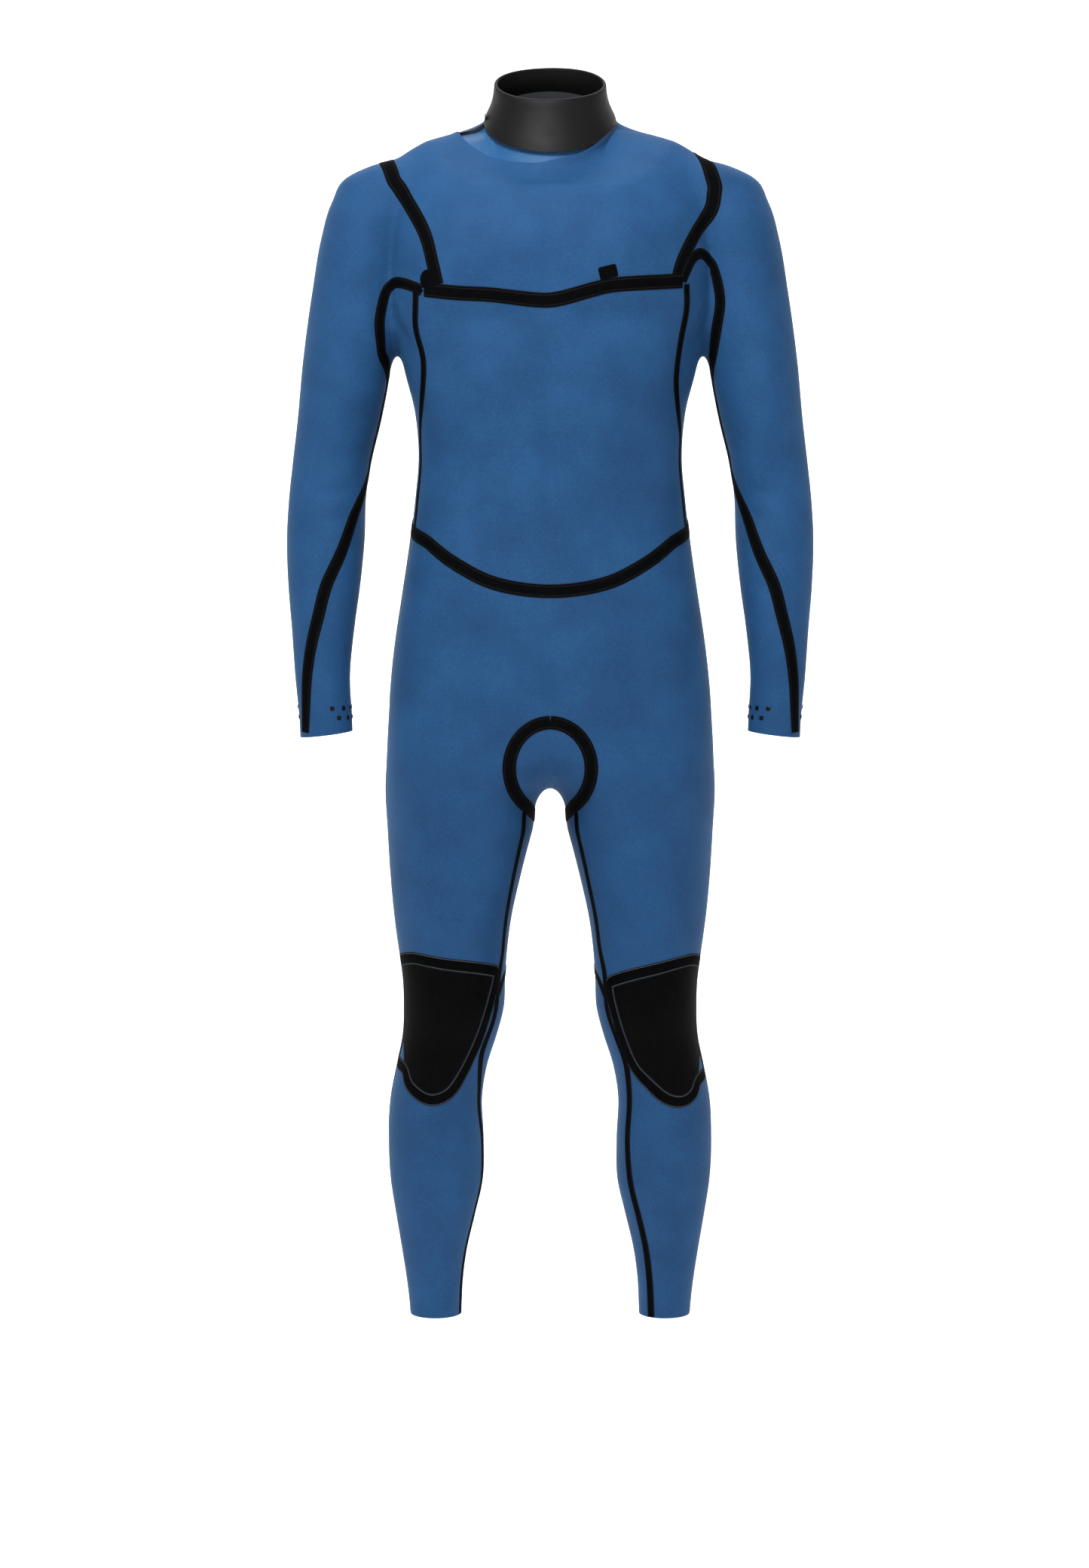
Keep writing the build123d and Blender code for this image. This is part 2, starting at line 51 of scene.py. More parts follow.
# ---- sizes, in millimetres, the same as the CAD model's -------------------
VOXEL = 3.6                               # spacing of the skin's points
WALL = 3.4                                # neoprene sheet
FLAP_WALL = 2.4                           # thinner neoprene inside the neck entry
TAPE_HIGH = 0.75                          # how far a tape stands on the panels
WIDE_TAPE, NARROW_TAPE = 16.0, 9.5
SIDE_Y = 8.0                              # front and back part here
CUFF_Z, HEM_Z = 690.0, 0.0
ARM_X = 204.0                             # below the armpits the arms are outside this
ELBOW_SPLIT, THIGH_SPLIT = 1010.0, 470.0  # where one bend has ended and the next starts
COLLAR_Y, COLLAR_Z, COLLAR_SLOPE = 11.0, 1400.0, 30.0
VIEW_DISTANCE, VIEW_HEIGHT = 4200.0, 1050.0    # seam lines below are as seen from here

# height, centre x, centre y, half width, depth in front, depth behind, squareness
TRUNK = [
    (690, 0, 8, 190, 104, 120, 2.35),
    (735, 0, 8, 187, 107, 126, 2.3),
    (790, 0, 7, 181, 108, 121, 2.3),
    (850, 0, 6, 172, 105, 109, 2.3),
    (910, 0, 5, 163, 101, 101, 2.3),
    (960, 0, 4, 157, 99, 99, 2.3),
    (1010, 0, 4, 153, 101, 101, 2.3),
    (1060, 0, 4, 157, 107, 107, 2.3),
    (1120, 0, 4, 172, 114, 114, 2.3),
    (1180, 0, 4, 184, 119, 119, 2.35),
    (1240, 0, 4, 190, 118, 120, 2.35),
    (1290, 0, 5, 190, 110, 118, 2.3),
    (1330, 0, 7, 183, 91, 110, 2.25),
    (1358, 0, 9, 173, 67, 98, 2.15),
    (1378, 0, 10, 138, 58, 88, 2.1),
    (1394, 0, 11, 96, 53, 79, 2.05),
    (1408, 0, 11, 75, 52, 73, 2.0),
    (1426, 0, 11, 72, 52, 68, 2.0),
    (1480, 0, 11, 68, 52, 64, 2.0),
]
ARM = [
    (1350, 170, 12, 30, 38, 38, 2.0),
    (1334, 182, 11, 52, 55, 55, 2.0),
    (1305, 195, 10, 57, 60, 61, 2.0),
    (1262, 208, 10, 57, 61, 62, 2.0),
    (1200, 220.5, 12, 56, 58, 60, 2.0),
    (1121, 235, 14, 52.5, 56, 57, 2.0),
    (1050, 246, 16, 48.5, 52, 51, 2.0),
    (1000, 255, 17, 45.5, 47, 50, 2.0),
    (963, 259.5, 17, 45, 46, 50, 2.05),
    (915, 261.5, 13, 45.5, 48, 47, 2.05),
    (860, 263, 5, 42, 46, 44, 2.0),
    (810, 264, -4, 36.5, 40, 38, 2.0),
    (755, 264, -15, 32, 33, 33, 2.0),
    (705, 260, -20, 31, 31, 31, 2.0),
    (640, 258, -24, 31, 31, 31, 2.0),
]
LEG = [
    (720, 0, 8, 188, 104, 122, 2.35),
    (690, 20, 8, 170, 104, 120, 2.35),
    (658, 68, 8, 123, 101, 116, 2.3),
    (625, 98.5, 7, 94, 95, 108, 2.2),
    (575, 105, 5, 85, 89, 99, 2.15),
    (520, 110.5, 1, 76, 82, 88, 2.1),
    (470, 113.5, -3, 68, 74, 78, 2.1),
    (430, 113, -4, 62.5, 67, 69, 2.1),
    (400, 112, -4, 59.5, 66, 62, 2.1),
    (370, 112, -4, 58.5, 65, 60, 2.1),
    (335, 117, -1, 55, 60, 59, 2.05),
    (300, 126, 5, 53, 57, 63, 2.0),
    (262, 133, 11, 53.5, 57, 68, 2.0),
    (207, 134, 17, 56, 57, 72, 2.0),
    (160, 133.5, 19, 54.5, 54, 66, 2.0),
    (120, 135, 20, 47, 48, 54, 2.0),
    (75, 136.5, 20, 38, 39, 42, 2.0),
    (40, 136, 20, 33, 33, 34, 2.0),
    (10, 135, 20, 30.5, 31, 31, 2.0),
    (-60, 135, 20, 30, 31, 31, 2.0),
]

# ---- seam lines: (x, z) seen from the front -------------------------------
NECK_EDGE = [(-107, 1391), (-104, 1379), (-90, 1366), (-69, 1354), (-45, 1349), (-15, 1348),
             (12, 1354), (33, 1360), (49, 1369), (65, 1382), (79, 1396)]
CHEST_SEAM = [(-146, 1203), (-108, 1199), (-69, 1197), (-17, 1191), (9, 1192), (53, 1204),
              (80, 1209), (153, 1213)]
WAIST_SEAM = [(-159, 930), (-145, 912), (-112, 886), (-64, 862), (0, 853), (64, 862),
              (112, 886), (145, 912), (159, 930)]
BACK_WAIST = [(159, 932), (120, 943), (60, 954), (0, 958), (-60, 954), (-120, 943), (-159, 932)]
SHOULDER_SEAM = {
    "left": [(184, 1361), (190, 1324), (187, 1297), (170, 1271), (153, 1237), (147, 1217)],
    "right": [(-196, 1352), (-182, 1331), (-169, 1311), (-146, 1269), (-136, 1232), (-131, 1209)],
}
SIDE_SEAM = {
    "left": [(158, 1201), (158, 1180), (152, 1148), (147, 1114), (146, 1091), (149, 1057),
             (151, 1035), (150.5, 1000), (154, 962), (157.5, 929)],
    "right": [(-156, 1190), (-156, 1158), (-148, 1127), (-147, 1103), (-150, 1062), (-151, 1039),
              (-150.5, 1000), (-154, 962), (-157.5, 929)],
}
UNDERARM_SEAM = {
    "left": [(153, 1213), (164, 1237), (173, 1245), (183, 1238), (191, 1222), (197, 1190),
             (193, 1158), (189, 1127)],
    "right": [(-149, 1202), (-163, 1208), (-180, 1211), (-190, 1201), (-195, 1184),
              (-198, 1162), (-195, 1127)],
}
KNEE_PAD = {
    "left": [(178, 429), (120, 418), (68, 403), (61, 388), (70, 347), (82, 311), (93, 289),
             (107, 273), (130, 252), (153, 246), (170, 254), (180, 273), (184, 330), (182, 390)],
    "right": [(-175, 430), (-120, 424), (-62, 416), (-55, 404), (-59, 382), (-65, 359),
              (-76, 325), (-94, 286), (-112, 259), (-137, 248), (-160, 257), (-176, 280),
              (-180, 330), (-179, 390)],
}


# ---- curves and fields ------------------------------------------------------
def smooth_line(points, step=3.0, closed=False):
    """Evenly spaced points on the smooth curve through the given points."""
    p = np.array(points, float)
    p = np.vstack([p[-1], p, p[0], p[1]]) if closed else np.vstack(
        [2 * p[0] - p[1], p, 2 * p[-1] - p[-2]])
    runs = []
    for a, b, c, d in zip(p, p[1:], p[2:], p[3:]):
        t = np.linspace(0, 1, 24, endpoint=False)[:, None]
        runs.append(0.5 * (2 * b + (c - a) * t + (2 * a - 5 * b + 4 * c - d) * t ** 2
                           + (3 * b - a - 3 * c + d) * t ** 3))
    line = np.vstack(runs + [runs[0][:1] if closed else p[-2:-1]])
    along = np.concatenate([[0], np.cumsum(np.linalg.norm(np.diff(line, axis=0), axis=1))])
    at = np.linspace(0, along[-1], max(2, int(round(along[-1] / step))) + 1)
    if closed:
        at = at[:-1]
    return np.stack([np.interp(at, along, line[:, k]) for k in range(p.shape[1])], 1)


def inside(points, outline):
    """Distance from each 2-D point to a closed outline, above 0 inside it."""
    best = np.full(len(points), 1e12)
    within = np.zeros(len(points), bool)
    x, z = points[:, 0], points[:, 1]
    start = np.array(outline, float)
    for (ax, az), (bx, bz) in zip(start, np.roll(start, -1, 0)):
        dx, dz = bx - ax, bz - az
        t = np.clip(((x - ax) * dx + (z - az) * dz) / max(dx * dx + dz * dz, 1e-9), 0, 1)
        best = np.minimum(best, (x - ax - t * dx) ** 2 + (z - az - t * dz) ** 2)
        if dz:
            within ^= ((az > z) != (bz > z)) & (x < ax + (z - az) * dx / dz)
    return np.sqrt(best) * np.where(within, 1, -1)


def station(stations, z):
    """The station's values at a height, smoothly between the listed ones."""
    table = np.array(sorted(stations), float)
    z = np.clip(np.atleast_1d(z), table[0, 0], table[-1, 0])
    h = np.diff(table[:, 0])[:, None]
    slope = np.diff(table[:, 1:], axis=0) / h
    tangent = np.vstack([slope[:1], (slope[:-1] * h[1:] + slope[1:] * h[:-1])
                         / (h[1:] + h[:-1]), slope[-1:]])
    i = np.clip(np.searchsorted(table[:, 0], z, side="right") - 1, 0, len(h) - 1)
    t = ((z - table[i, 0]) / h[i, 0])[:, None]
    a, b = table[i, 1:], table[i + 1, 1:]
    ta, tb = tangent[i] * h[i], tangent[i + 1] * h[i]
    return (a * (2 * t ** 3 - 3 * t ** 2 + 1) + ta * (t ** 3 - 2 * t ** 2 + t)
            + b * (3 * t ** 2 - 2 * t ** 3) + tb * (t ** 3 - t ** 2))


def limb_point(stations, side, z, degrees):
    """A point of a limb: 0 degrees is the front, 90 the side toward the body."""
    x, y, half, front, back, _ = station(stations, z)[0]
    angle = math.radians(degrees)
    depth = front if math.cos(angle) > 0 else back
    return (SIDES[side] * (x - half * math.sin(angle)), y - depth * math.cos(angle), z)


def limb_angle(stations, side, v):
    """The angle of each point about its limb, in degrees, as in limb_point."""
    x, y, half, front, back, _ = station(stations, v[:, 2]).T
    forward = y - v[:, 1]
    forward = forward / np.where(forward > 0, front, back)
    return np.degrees(np.arctan2((x - SIDES[side] * v[:, 0]) / half, forward))


# ---- the skin that all the pieces are cut from ------------------------------
def tube(stations, sign=1, around=96, step=5.0):
    """Points and faces of a closed tube through the stations."""
    low, high = min(s[0] for s in stations), max(s[0] for s in stations)
    heights = np.linspace(low, high, int((high - low) / step) + 1)
    angle = np.linspace(0, 2 * math.pi, around, endpoint=False)
    c, s = np.cos(angle), np.sin(angle)
    rings = []
    for z, (x, y, half, front, back, square) in zip(heights, station(stations, heights)):
        power = 2 / square
        px = x + half * np.sign(c) * np.abs(c) ** power
        py = y + np.where(s > 0, back, front) * np.sign(s) * np.abs(s) ** power
        rings.append(np.stack([sign * px, py, np.full(around, z)], 1))
    v = np.vstack(rings)
    i = np.arange(around)
    j = (i + 1) % around
    faces = []
    for k in range(len(heights) - 1):
        a, b = k * around, (k + 1) * around
        faces += np.stack([a + i, a + j, b + j, b + i], 1)[:, ::sign].tolist()
    last = (len(heights) - 1) * around
    faces += [list(range(around))[::-sign], list(range(last, last + around))[::sign]]
    return v, faces


def normals_of(v, t):
    n = np.cross(v[t[:, 1]] - v[t[:, 0]], v[t[:, 2]] - v[t[:, 0]])
    total = np.zeros_like(v)
    for k in range(3):
        for axis in range(3):
            total[:, axis] += np.bincount(t[:, k], n[:, axis], len(v))
    return total / np.maximum(np.linalg.norm(total, axis=1, keepdims=True), 1e-12)


def relax(v, edges, rounds, share):
    """Moves each point toward the middle of its neighbours, by its share."""
    a, b = edges.T
    count = np.bincount(a, minlength=len(v)) + np.bincount(b, minlength=len(v))
    for _ in range(rounds):
        middle = np.stack([np.bincount(a, v[b, k], len(v)) + np.bincount(b, v[a, k], len(v))
                           for k in range(3)], 1) / count[:, None]
        v = v + (middle - v) * share
    return v


def near(v, centre, radii):
    """1 at a centre, falling smoothly to 0 outside it, the same on both sides."""
    p = np.stack([np.abs(v[:, 0]), v[:, 1], v[:, 2]], 1)
    return np.exp(-(((p - np.array(centre)) / np.array(radii)) ** 2).sum(1))


# Soft forms of the wearer under the neoprene: centre, radii, height
FORMS = [
    ((82, -112, 1240), (60, 70, 44), 9.0),      # chest
    ((72, -112, 1166), (62, 60, 22), -6.0),     # under the chest
    ((0, -112, 1235), (13, 60, 62), -3.5),      # breastbone
    ((0, -98, 1010), (13, 60, 120), -4.0),      # middle of the belly
    ((62, -95, 1010), (36, 60, 70), 3.5),
    ((85, 112, 1270), (46, 60, 60), 6.0),       # shoulder blades
    ((0, 112, 1150), (16, 60, 230), -6.0),      # spine
    ((74, 126, 738), (62, 60, 62), 9.0),       # seat
    ((0, 120, 700), (12, 60, 70), -8.0),
    ((98, 105, 655), (60, 50, 15), -5.0),       # under the seat
    ((122, -84, 560), (46, 50, 90), 4.0),       # thigh
    ((112, -66, 378), (30, 40, 30), 4.5),       # kneecap
    ((112, -62, 330), (30, 40, 16), -2.0),
    ((112, 58, 380), (36, 40, 40), -4.0),       # back of the knee
    ((240, -40, 1270), (40, 60, 50), 2.0),      # shoulder
    ((246, -38, 1095), (30, 40, 62), 3.0),      # upper arm
    ((0, -96, 652), (34, 60, 34), 9.0),         # crotch
]
# Folds: (x, z) line seen from the front, side, half width, height
FOLDS = [
    *[([(186, 1176), (168, 1150), (158, 1120)], facing, 6.0, -2.2)
      for facing in ("front", "back")],
    *[([(180, 1196), (170, 1176), (164, 1150)], facing, 5.0, 1.6)
      for facing in ("front", "back")],
    ([(176, 1126), (166, 1100), (160, 1072)], "front", 6.0, 1.4),
    ([(2, 668), (14, 650), (22, 622)], "front", 5.0, -3.0),
    ([(0, 655), (5, 642), (4, 630)], "front", 4.0, -2.5),
    ([(62, 690), (84, 668), (112, 655)], "front", 9.0, -1.6),
    ([(222, 978), (250, 968), (276, 972)], "front", 6.0, -1.4),
    ([(224, 958), (252, 950), (284, 954)], "front", 6.0, 0.9),
    ([(226, 944), (250, 936), (270, 936)], "front", 5.0, -0.9),
    ([(84, 392), (112, 384), (146, 390)], "back", 7.0, -2.2),
    ([(86, 374), (112, 366), (142, 370)], "back", 7.0, 1.4),
    ([(88, 356), (112, 350), (140, 352)], "back", 7.0, -1.8),
    ([(118, 40), (136, 36), (152, 42)], "front", 6.0, -0.8),
    ([(112, 62), (134, 56), (158, 60)], "front", 6.0, 0.7),
]


def fold_height(v):
    height = np.zeros(len(v))
    for points, facing, half_width, high in FOLDS:
        line = smooth_line(points, 4.0)
        xs = np.abs(v[:, 0])
        touched = np.flatnonzero(
            (xs > line[:, 0].min() - 30) & (xs < line[:, 0].max() + 30)
            & (v[:, 2] > line[:, 1].min() - 30) & (v[:, 2] < line[:, 1].max() + 30))
        p = np.stack([xs[touched], v[touched, 2]], 1)
        away = np.linalg.norm(p[:, None] - line[None], axis=2)
        best = away.argmin(1)
        share = best / (len(line) - 1)
        taper = np.sin(np.pi * np.clip(share, 0.04, 0.96)) ** 0.7
        middle = 20.0 if facing == "back" else 0.0
        depth = (v[touched, 1] - middle) * (1 if facing == "back" else -1)
        facing_share = np.clip(depth / 20.0, 0, 1)
        height[touched] += high * taper * facing_share * np.exp(
            -(away.min(1) / half_width) ** 2)
    return height


def meet_collar(v):
    """Draws the skin in to the collar's base, where the two meet."""
    slope = math.radians(COLLAR_SLOPE)
    height = v[:, 2] - COLLAR_Z - math.tan(slope) * (v[:, 1] - COLLAR_Y)
    away = np.hypot(v[:, 0] / 75.5, (v[:, 1] - COLLAR_Y) / (76.5 * math.cos(slope)))
    share = np.where(height > 0, 1, np.exp(-(height / 18) ** 2)) * (v[:, 2] > 1320)
    share = share * np.clip((1.9 - away) / 0.4, 0, 1)
    scale = (1 + (1 / np.maximum(away, 0.05) - 1) * share)[:, None]
    middle = np.array([0, COLLAR_Y, 0])
    return np.hstack([(middle + (v - middle) * scale)[:, :2], v[:, 2:]])


def make_skin():
    """One smooth closed body as points, normals and triangles, in millimetres."""
    points, faces, start = [], [], 0
    for stations, sign in [(TRUNK, 1)] + [(s, k) for s in (ARM, LEG) for k in (1, -1)]:
        v, f = tube(stations, sign)
        points.append(v)
        faces += [[i + start for i in face] for face in f]
        start += len(v)
    mesh = bpy.data.meshes.new("skin_base")
    mesh.from_pydata((np.vstack(points) * MM).tolist(), [], faces)
    body = bpy.data.objects.new("skin_base", mesh)
    bpy.context.scene.collection.objects.link(body)
    remesh = body.modifiers.new("union", "REMESH")
    remesh.mode, remesh.voxel_size = "VOXEL", VOXEL * MM
    graph = bpy.context.evaluated_depsgraph_get()
    solid = bpy.data.meshes.new_from_object(body.evaluated_get(graph))
    v = np.zeros(len(solid.vertices) * 3)
    solid.vertices.foreach_get("co", v)
    v = v.reshape(-1, 3) / MM
    solid.calc_loop_triangles()
    t = np.zeros(len(solid.loop_triangles) * 3, np.int32)
    solid.loop_triangles.foreach_get("vertices", t)
    t = t.reshape(-1, 3)
    edges = np.zeros(len(solid.edges) * 2, np.int32)
    solid.edges.foreach_get("vertices", edges)
    edges = edges.reshape(-1, 2)
    bpy.data.objects.remove(body)
    bpy.data.meshes.remove(mesh)
    bpy.data.meshes.remove(solid)
    joins = np.maximum.reduce([near(v, (184, 10, 1140), (40, 60, 46)),
                               near(v, (175, 10, 1330), (46, 70, 46)),
                               near(v, (165, 10, 1368), (46, 70, 18)),
                               near(v, (20, 10, 628), (46, 90, 30)),
                               near(v, (120, 10, 700), (80, 140, 30)),
                               near(v, (70, 10, 1408), (30, 60, 12))])
    v = relax(v, edges, 30, np.clip(joins * 1.3, 0, 0.8)[:, None])
    for share in [0.5, -0.52] * 6:
        v = relax(v, edges, 1, share)
    height = sum(high * near(v, centre, radii) for centre, radii, high in FORMS)
    v = v + normals_of(v, t) * (height + fold_height(v))[:, None]
    v = relax(meet_collar(v), edges, 2, 0.4)
    return v, normals_of(v, t), t


SKIN = make_skin()
SURFACE = BVHTree.FromPolygons(SKIN[0].tolist(), SKIN[2].tolist())


def clip(sheet, field):
    """The part of a sheet of triangles where field(points) is above 0, cut along 0."""
    v, n, t = sheet
    f = field(v)
    f = np.where(np.abs(f) < 0.05, 0.05, f)
    keep = f > 0
    count = keep[t].sum(1)
    mixed = t[(count == 1) | (count == 2)]
    held = keep[mixed]
    odd = np.where((held.sum(1) == 1)[:, None], held, ~held).argmax(1)
    tri = np.take_along_axis(mixed, (odd[:, None] + np.arange(3)) % 3, 1)
    one = keep[tri[:, 0]]
    pairs = np.sort(np.vstack([tri[:, [0, 1]], tri[:, [0, 2]]]), 1)
    edges, place = np.unique(pairs, axis=0, return_inverse=True)
    place = place.reshape(-1)
    a, b = edges.T
    share = (f[a] / (f[a] - f[b]))[:, None]
    cut_n = n[a] + (n[b] - n[a]) * share
    cut_n /= np.linalg.norm(cut_n, axis=1, keepdims=True)
    p, q = len(v) + place[:len(tri)], len(v) + place[len(tri):]
    two = ~one
    t = np.vstack([t[count == 3],
                   np.stack([tri[one, 0], p[one], q[one]], 1),
                   np.stack([p[two], tri[two, 1], tri[two, 2]], 1),
                   np.stack([p[two], tri[two, 2], q[two]], 1)])
    v, n = np.vstack([v, v[a] + (v[b] - v[a]) * share]), np.vstack([n, cut_n])
    used, t = np.unique(t, return_inverse=True)
    return v[used], n[used], t.reshape(-1, 3)


def carve(*fields):
    sheet = SKIN
    for field in fields:
        sheet = clip(sheet, field)
    return sheet


# ---- Blender objects --------------------------------------------------------
def build(name, v, faces, slots, materials, **values):
    """A Blender mesh from points in millimetres and a list of face arrays."""
    mesh = bpy.data.meshes.new(name)
    sizes = np.concatenate([np.full(len(f), f.shape[1]) for f in faces])
    mesh.vertices.add(len(v))
    mesh.vertices.foreach_set("co", (v * MM).astype(np.float32).ravel())
    mesh.loops.add(int(sizes.sum()))
    mesh.loops.foreach_set("vertex_index", np.concatenate([f.ravel() for f in faces]))
    mesh.polygons.add(len(sizes))
    mesh.polygons.foreach_set("loop_start", np.concatenate([[0], np.cumsum(sizes)[:-1]]))
    mesh.polygons.foreach_set("material_index", np.repeat(slots, [len(f) for f in faces]))
    mesh.update(calc_edges=True)
    mesh.validate()
    mesh.polygons.foreach_set("use_smooth", np.ones(len(mesh.polygons), bool))
    mesh.set_sharp_from_angle(angle=math.radians(50))
    rest = mesh.attributes.new("rest", "FLOAT_VECTOR", "POINT")
    rest.data.foreach_set("vector", v.astype(np.float32).ravel())
    for key, value in values.items():
        attribute = mesh.attributes.new(key, "FLOAT", "POINT")
        attribute.data.foreach_set("value", value.astype(np.float32))
    for material in materials:
        mesh.materials.append(material)
    piece = bpy.data.objects.new(name, mesh)
    bpy.context.scene.collection.objects.link(piece)
    return piece


def panel(name, sheet, materials, wall=WALL, lift=0.0):
    """A closed panel of neoprene: the sheet outside, an inner face and a cut rim."""
    v, n, t = sheet
    count = len(v)
    edges = np.vstack([t[:, [0, 1]], t[:, [1, 2]], t[:, [2, 0]]]).astype(np.int64)
    rim = edges[~np.isin(edges[:, 0] * count + edges[:, 1], edges[:, 1] * count + edges[:, 0])]
    side = np.stack([rim[:, 1], rim[:, 0], rim[:, 0] + count, rim[:, 1] + count], 1)
    lift = lift(v)[:, None] if callable(lift) else lift
    points = np.vstack([v + n * lift, v - n * (wall - lift)])
    return build(name, points, [t, t[:, ::-1] + count, side], [0, 1, 1], materials)


def surface_at(point):
    """The nearest point of the skin, and the skin's smooth normal there."""
    place, _, face, _ = SURFACE.find_nearest(Vector(point))
    v, n, t = SKIN
    corners = v[t[face]]
    p = np.array(place)
    areas = [np.linalg.norm(np.cross(corners[(k + 1) % 3] - p, corners[(k + 2) % 3] - p))
             for k in range(3)]
    normal = np.array(areas) @ n[t[face]]
    return p, normal / np.linalg.norm(normal)


def seen_at(x, z, back=False):
    """The point of the skin met in looking at (x, z) from in front, or from behind."""
    eye = Vector((0, VIEW_DISTANCE if back else -VIEW_DISTANCE, VIEW_HEIGHT))
    hit = SURFACE.ray_cast(eye, (Vector((x, 0, z)) - eye).normalized())[0]
    return tuple(hit) if hit else tuple(surface_at((x, SIDE_Y, z))[0])


def seen_line(points, back=False):
    return [seen_at(x, z, back) for x, z in smooth_line(points, 8.0)]


def seen(v):
    """Where each point is seen to be, as in seen_at."""
    share = VIEW_DISTANCE / (VIEW_DISTANCE - np.abs(v[:, 1]))
    return np.stack([v[:, 0] * share, VIEW_HEIGHT + (v[:, 2] - VIEW_HEIGHT) * share], 1)


ACROSS = np.array([-1, -0.93, -0.7, -0.35, 0, 0.35, 0.7, 0.93, 1])


def ribbon(route, width, closed=False, high=TAPE_HIGH):
    """Rows of points across a tape that lies on the skin along a route.

    width is one number, or a list of (height, width) where it changes."""
    widths = [(0, width)] if isinstance(width, float) else width
    line = smooth_line(route, 3.5, closed)
    line = np.array([surface_at(p)[0] for p in line])
    for _ in range(3):
        ahead, behind = np.roll(line, -1, 0), np.roll(line, 1, 0)
        if not closed:
            for beside in (ahead, behind):
                beside[0], beside[-1] = line[0], line[-1]
        line = line * 0.5 + (ahead + behind) * 0.25
    ahead, behind = np.roll(line, -1, 0), np.roll(line, 1, 0)
    if not closed:
        ahead[-1], behind[0] = line[-1], line[0]
    top, bottom = [], []
    for p, way in zip(line, ahead - behind):
        normal = surface_at(p)[1]
        width = np.interp(p[2], *np.array(widths).T)
        across = np.cross(normal, way)
        across /= np.linalg.norm(across)
        for u in ACROSS:
            place, n = surface_at(p + across * u * width / 2)
            edge = 1 - max(0.0, abs(u) - 0.7) / 0.3
            top.append(place + n * high * (0.35 + 0.65 * edge))
            bottom.append(place - n * 0.4)
    shape = (len(line), len(ACROSS), 3)
    gaps = np.linalg.norm(np.diff(line, axis=0), axis=1)
    along = np.concatenate([[0], np.cumsum(gaps)])
    return np.array(top).reshape(shape), np.array(bottom).reshape(shape), along, closed


def tape(name, made, material, first=0, last=None):
    """A closed tape from a ribbon's rows, or from some of them."""
    top, bottom, along, closed = made
    whole = closed and last is None
    top, bottom, along = top[first:last], bottom[first:last], along[first:last]
    rows, columns = top.shape[:2]
    index = np.arange(rows * columns).reshape(rows, columns)
    if whole:
        index = np.vstack([index, index[:1]])
    count = rows * columns
    a, b, c, d = index[:-1, :-1], index[1:, :-1], index[1:, 1:], index[:-1, 1:]
    upper = np.stack([a, d, c, b], 2).reshape(-1, 4)
    lower = upper[:, ::-1] + count
    edges = [index[:, 0], index[::-1, -1]] + ([] if whole else [index[0, ::-1], index[-1]])
    faces = [upper, lower] + [
        np.stack([e[:-1], e[1:], e[1:] + count, e[:-1] + count], 1) for e in edges]
    v = np.vstack([top.reshape(-1, 3), bottom.reshape(-1, 3)])
    across = np.tile(ACROSS, rows * 2)
    length = np.tile(np.repeat(along, columns), 2)
    normal = np.cross(v[upper[0, 1]] - v[upper[0, 0]], v[upper[0, 2]] - v[upper[0, 0]])
    if normal @ (top[0, 0] - bottom[0, 0]) < 0:
        faces = [f[:, ::-1] for f in faces]
    return build(name, v, faces, [0] * len(faces), [material], across=across, along=length)


def patch(name, centre, half_width, half_height, turn, squareness, high, material, rows=5):
    """A small rounded patch on the skin round a point."""
    middle, normal = surface_at(centre)
    across = np.cross((0, 0, 1), normal)
    across /= np.linalg.norm(across)
    upward = np.cross(normal, across)
    c, s = math.cos(math.radians(turn)), math.sin(math.radians(turn))
    across, upward = across * c + upward * s, upward * c - across * s
    around = 28
    angle = np.linspace(0, 2 * math.pi, around, endpoint=False)
    px = np.sign(np.cos(angle)) * np.abs(np.cos(angle)) ** (2 / squareness) * half_width
    pz = np.sign(np.sin(angle)) * np.abs(np.sin(angle)) ** (2 / squareness) * half_height
    v = [middle + normal * high]
    for k in range(1, rows + 1):
        share = k / rows
        level = high if k < rows else high * 0.45
        for x, z in zip(px, pz):
            place, n = surface_at(middle + (across * x + upward * z) * share)
            v.append(place + n * level)
    for x, z in zip(px, pz):
        place, n = surface_at(middle + across * x + upward * z)
        v.append(place - n * 0.4)
    v.append(middle - normal * 0.4)
    i = np.arange(around)
    j = (i + 1) % around
    ring = 1 + around * np.arange(rows + 1)
    quads = [np.stack([a + i, b + i, b + j, a + j], 1) for a, b in zip(ring, ring[1:])]
    fans = [np.stack([0 * i, 1 + i, 1 + j], 1),
            np.stack([0 * i + len(v) - 1, ring[-1] + j, ring[-1] + i], 1)]
    return build(name, np.array(v), quads + fans, [0] * (len(quads) + 2), [material],
                 across=np.zeros(len(v)), along=np.zeros(len(v)))


def joined(name, pieces):
    """Several small pieces made into one object."""
    mesh = bmesh.new()
    for piece in pieces:
        mesh.from_mesh(piece.data)
    first = pieces[0]
    mesh.to_mesh(first.data)
    mesh.free()
    for piece in pieces[1:]:
        bpy.data.objects.remove(piece)
    first.name = name
    return first


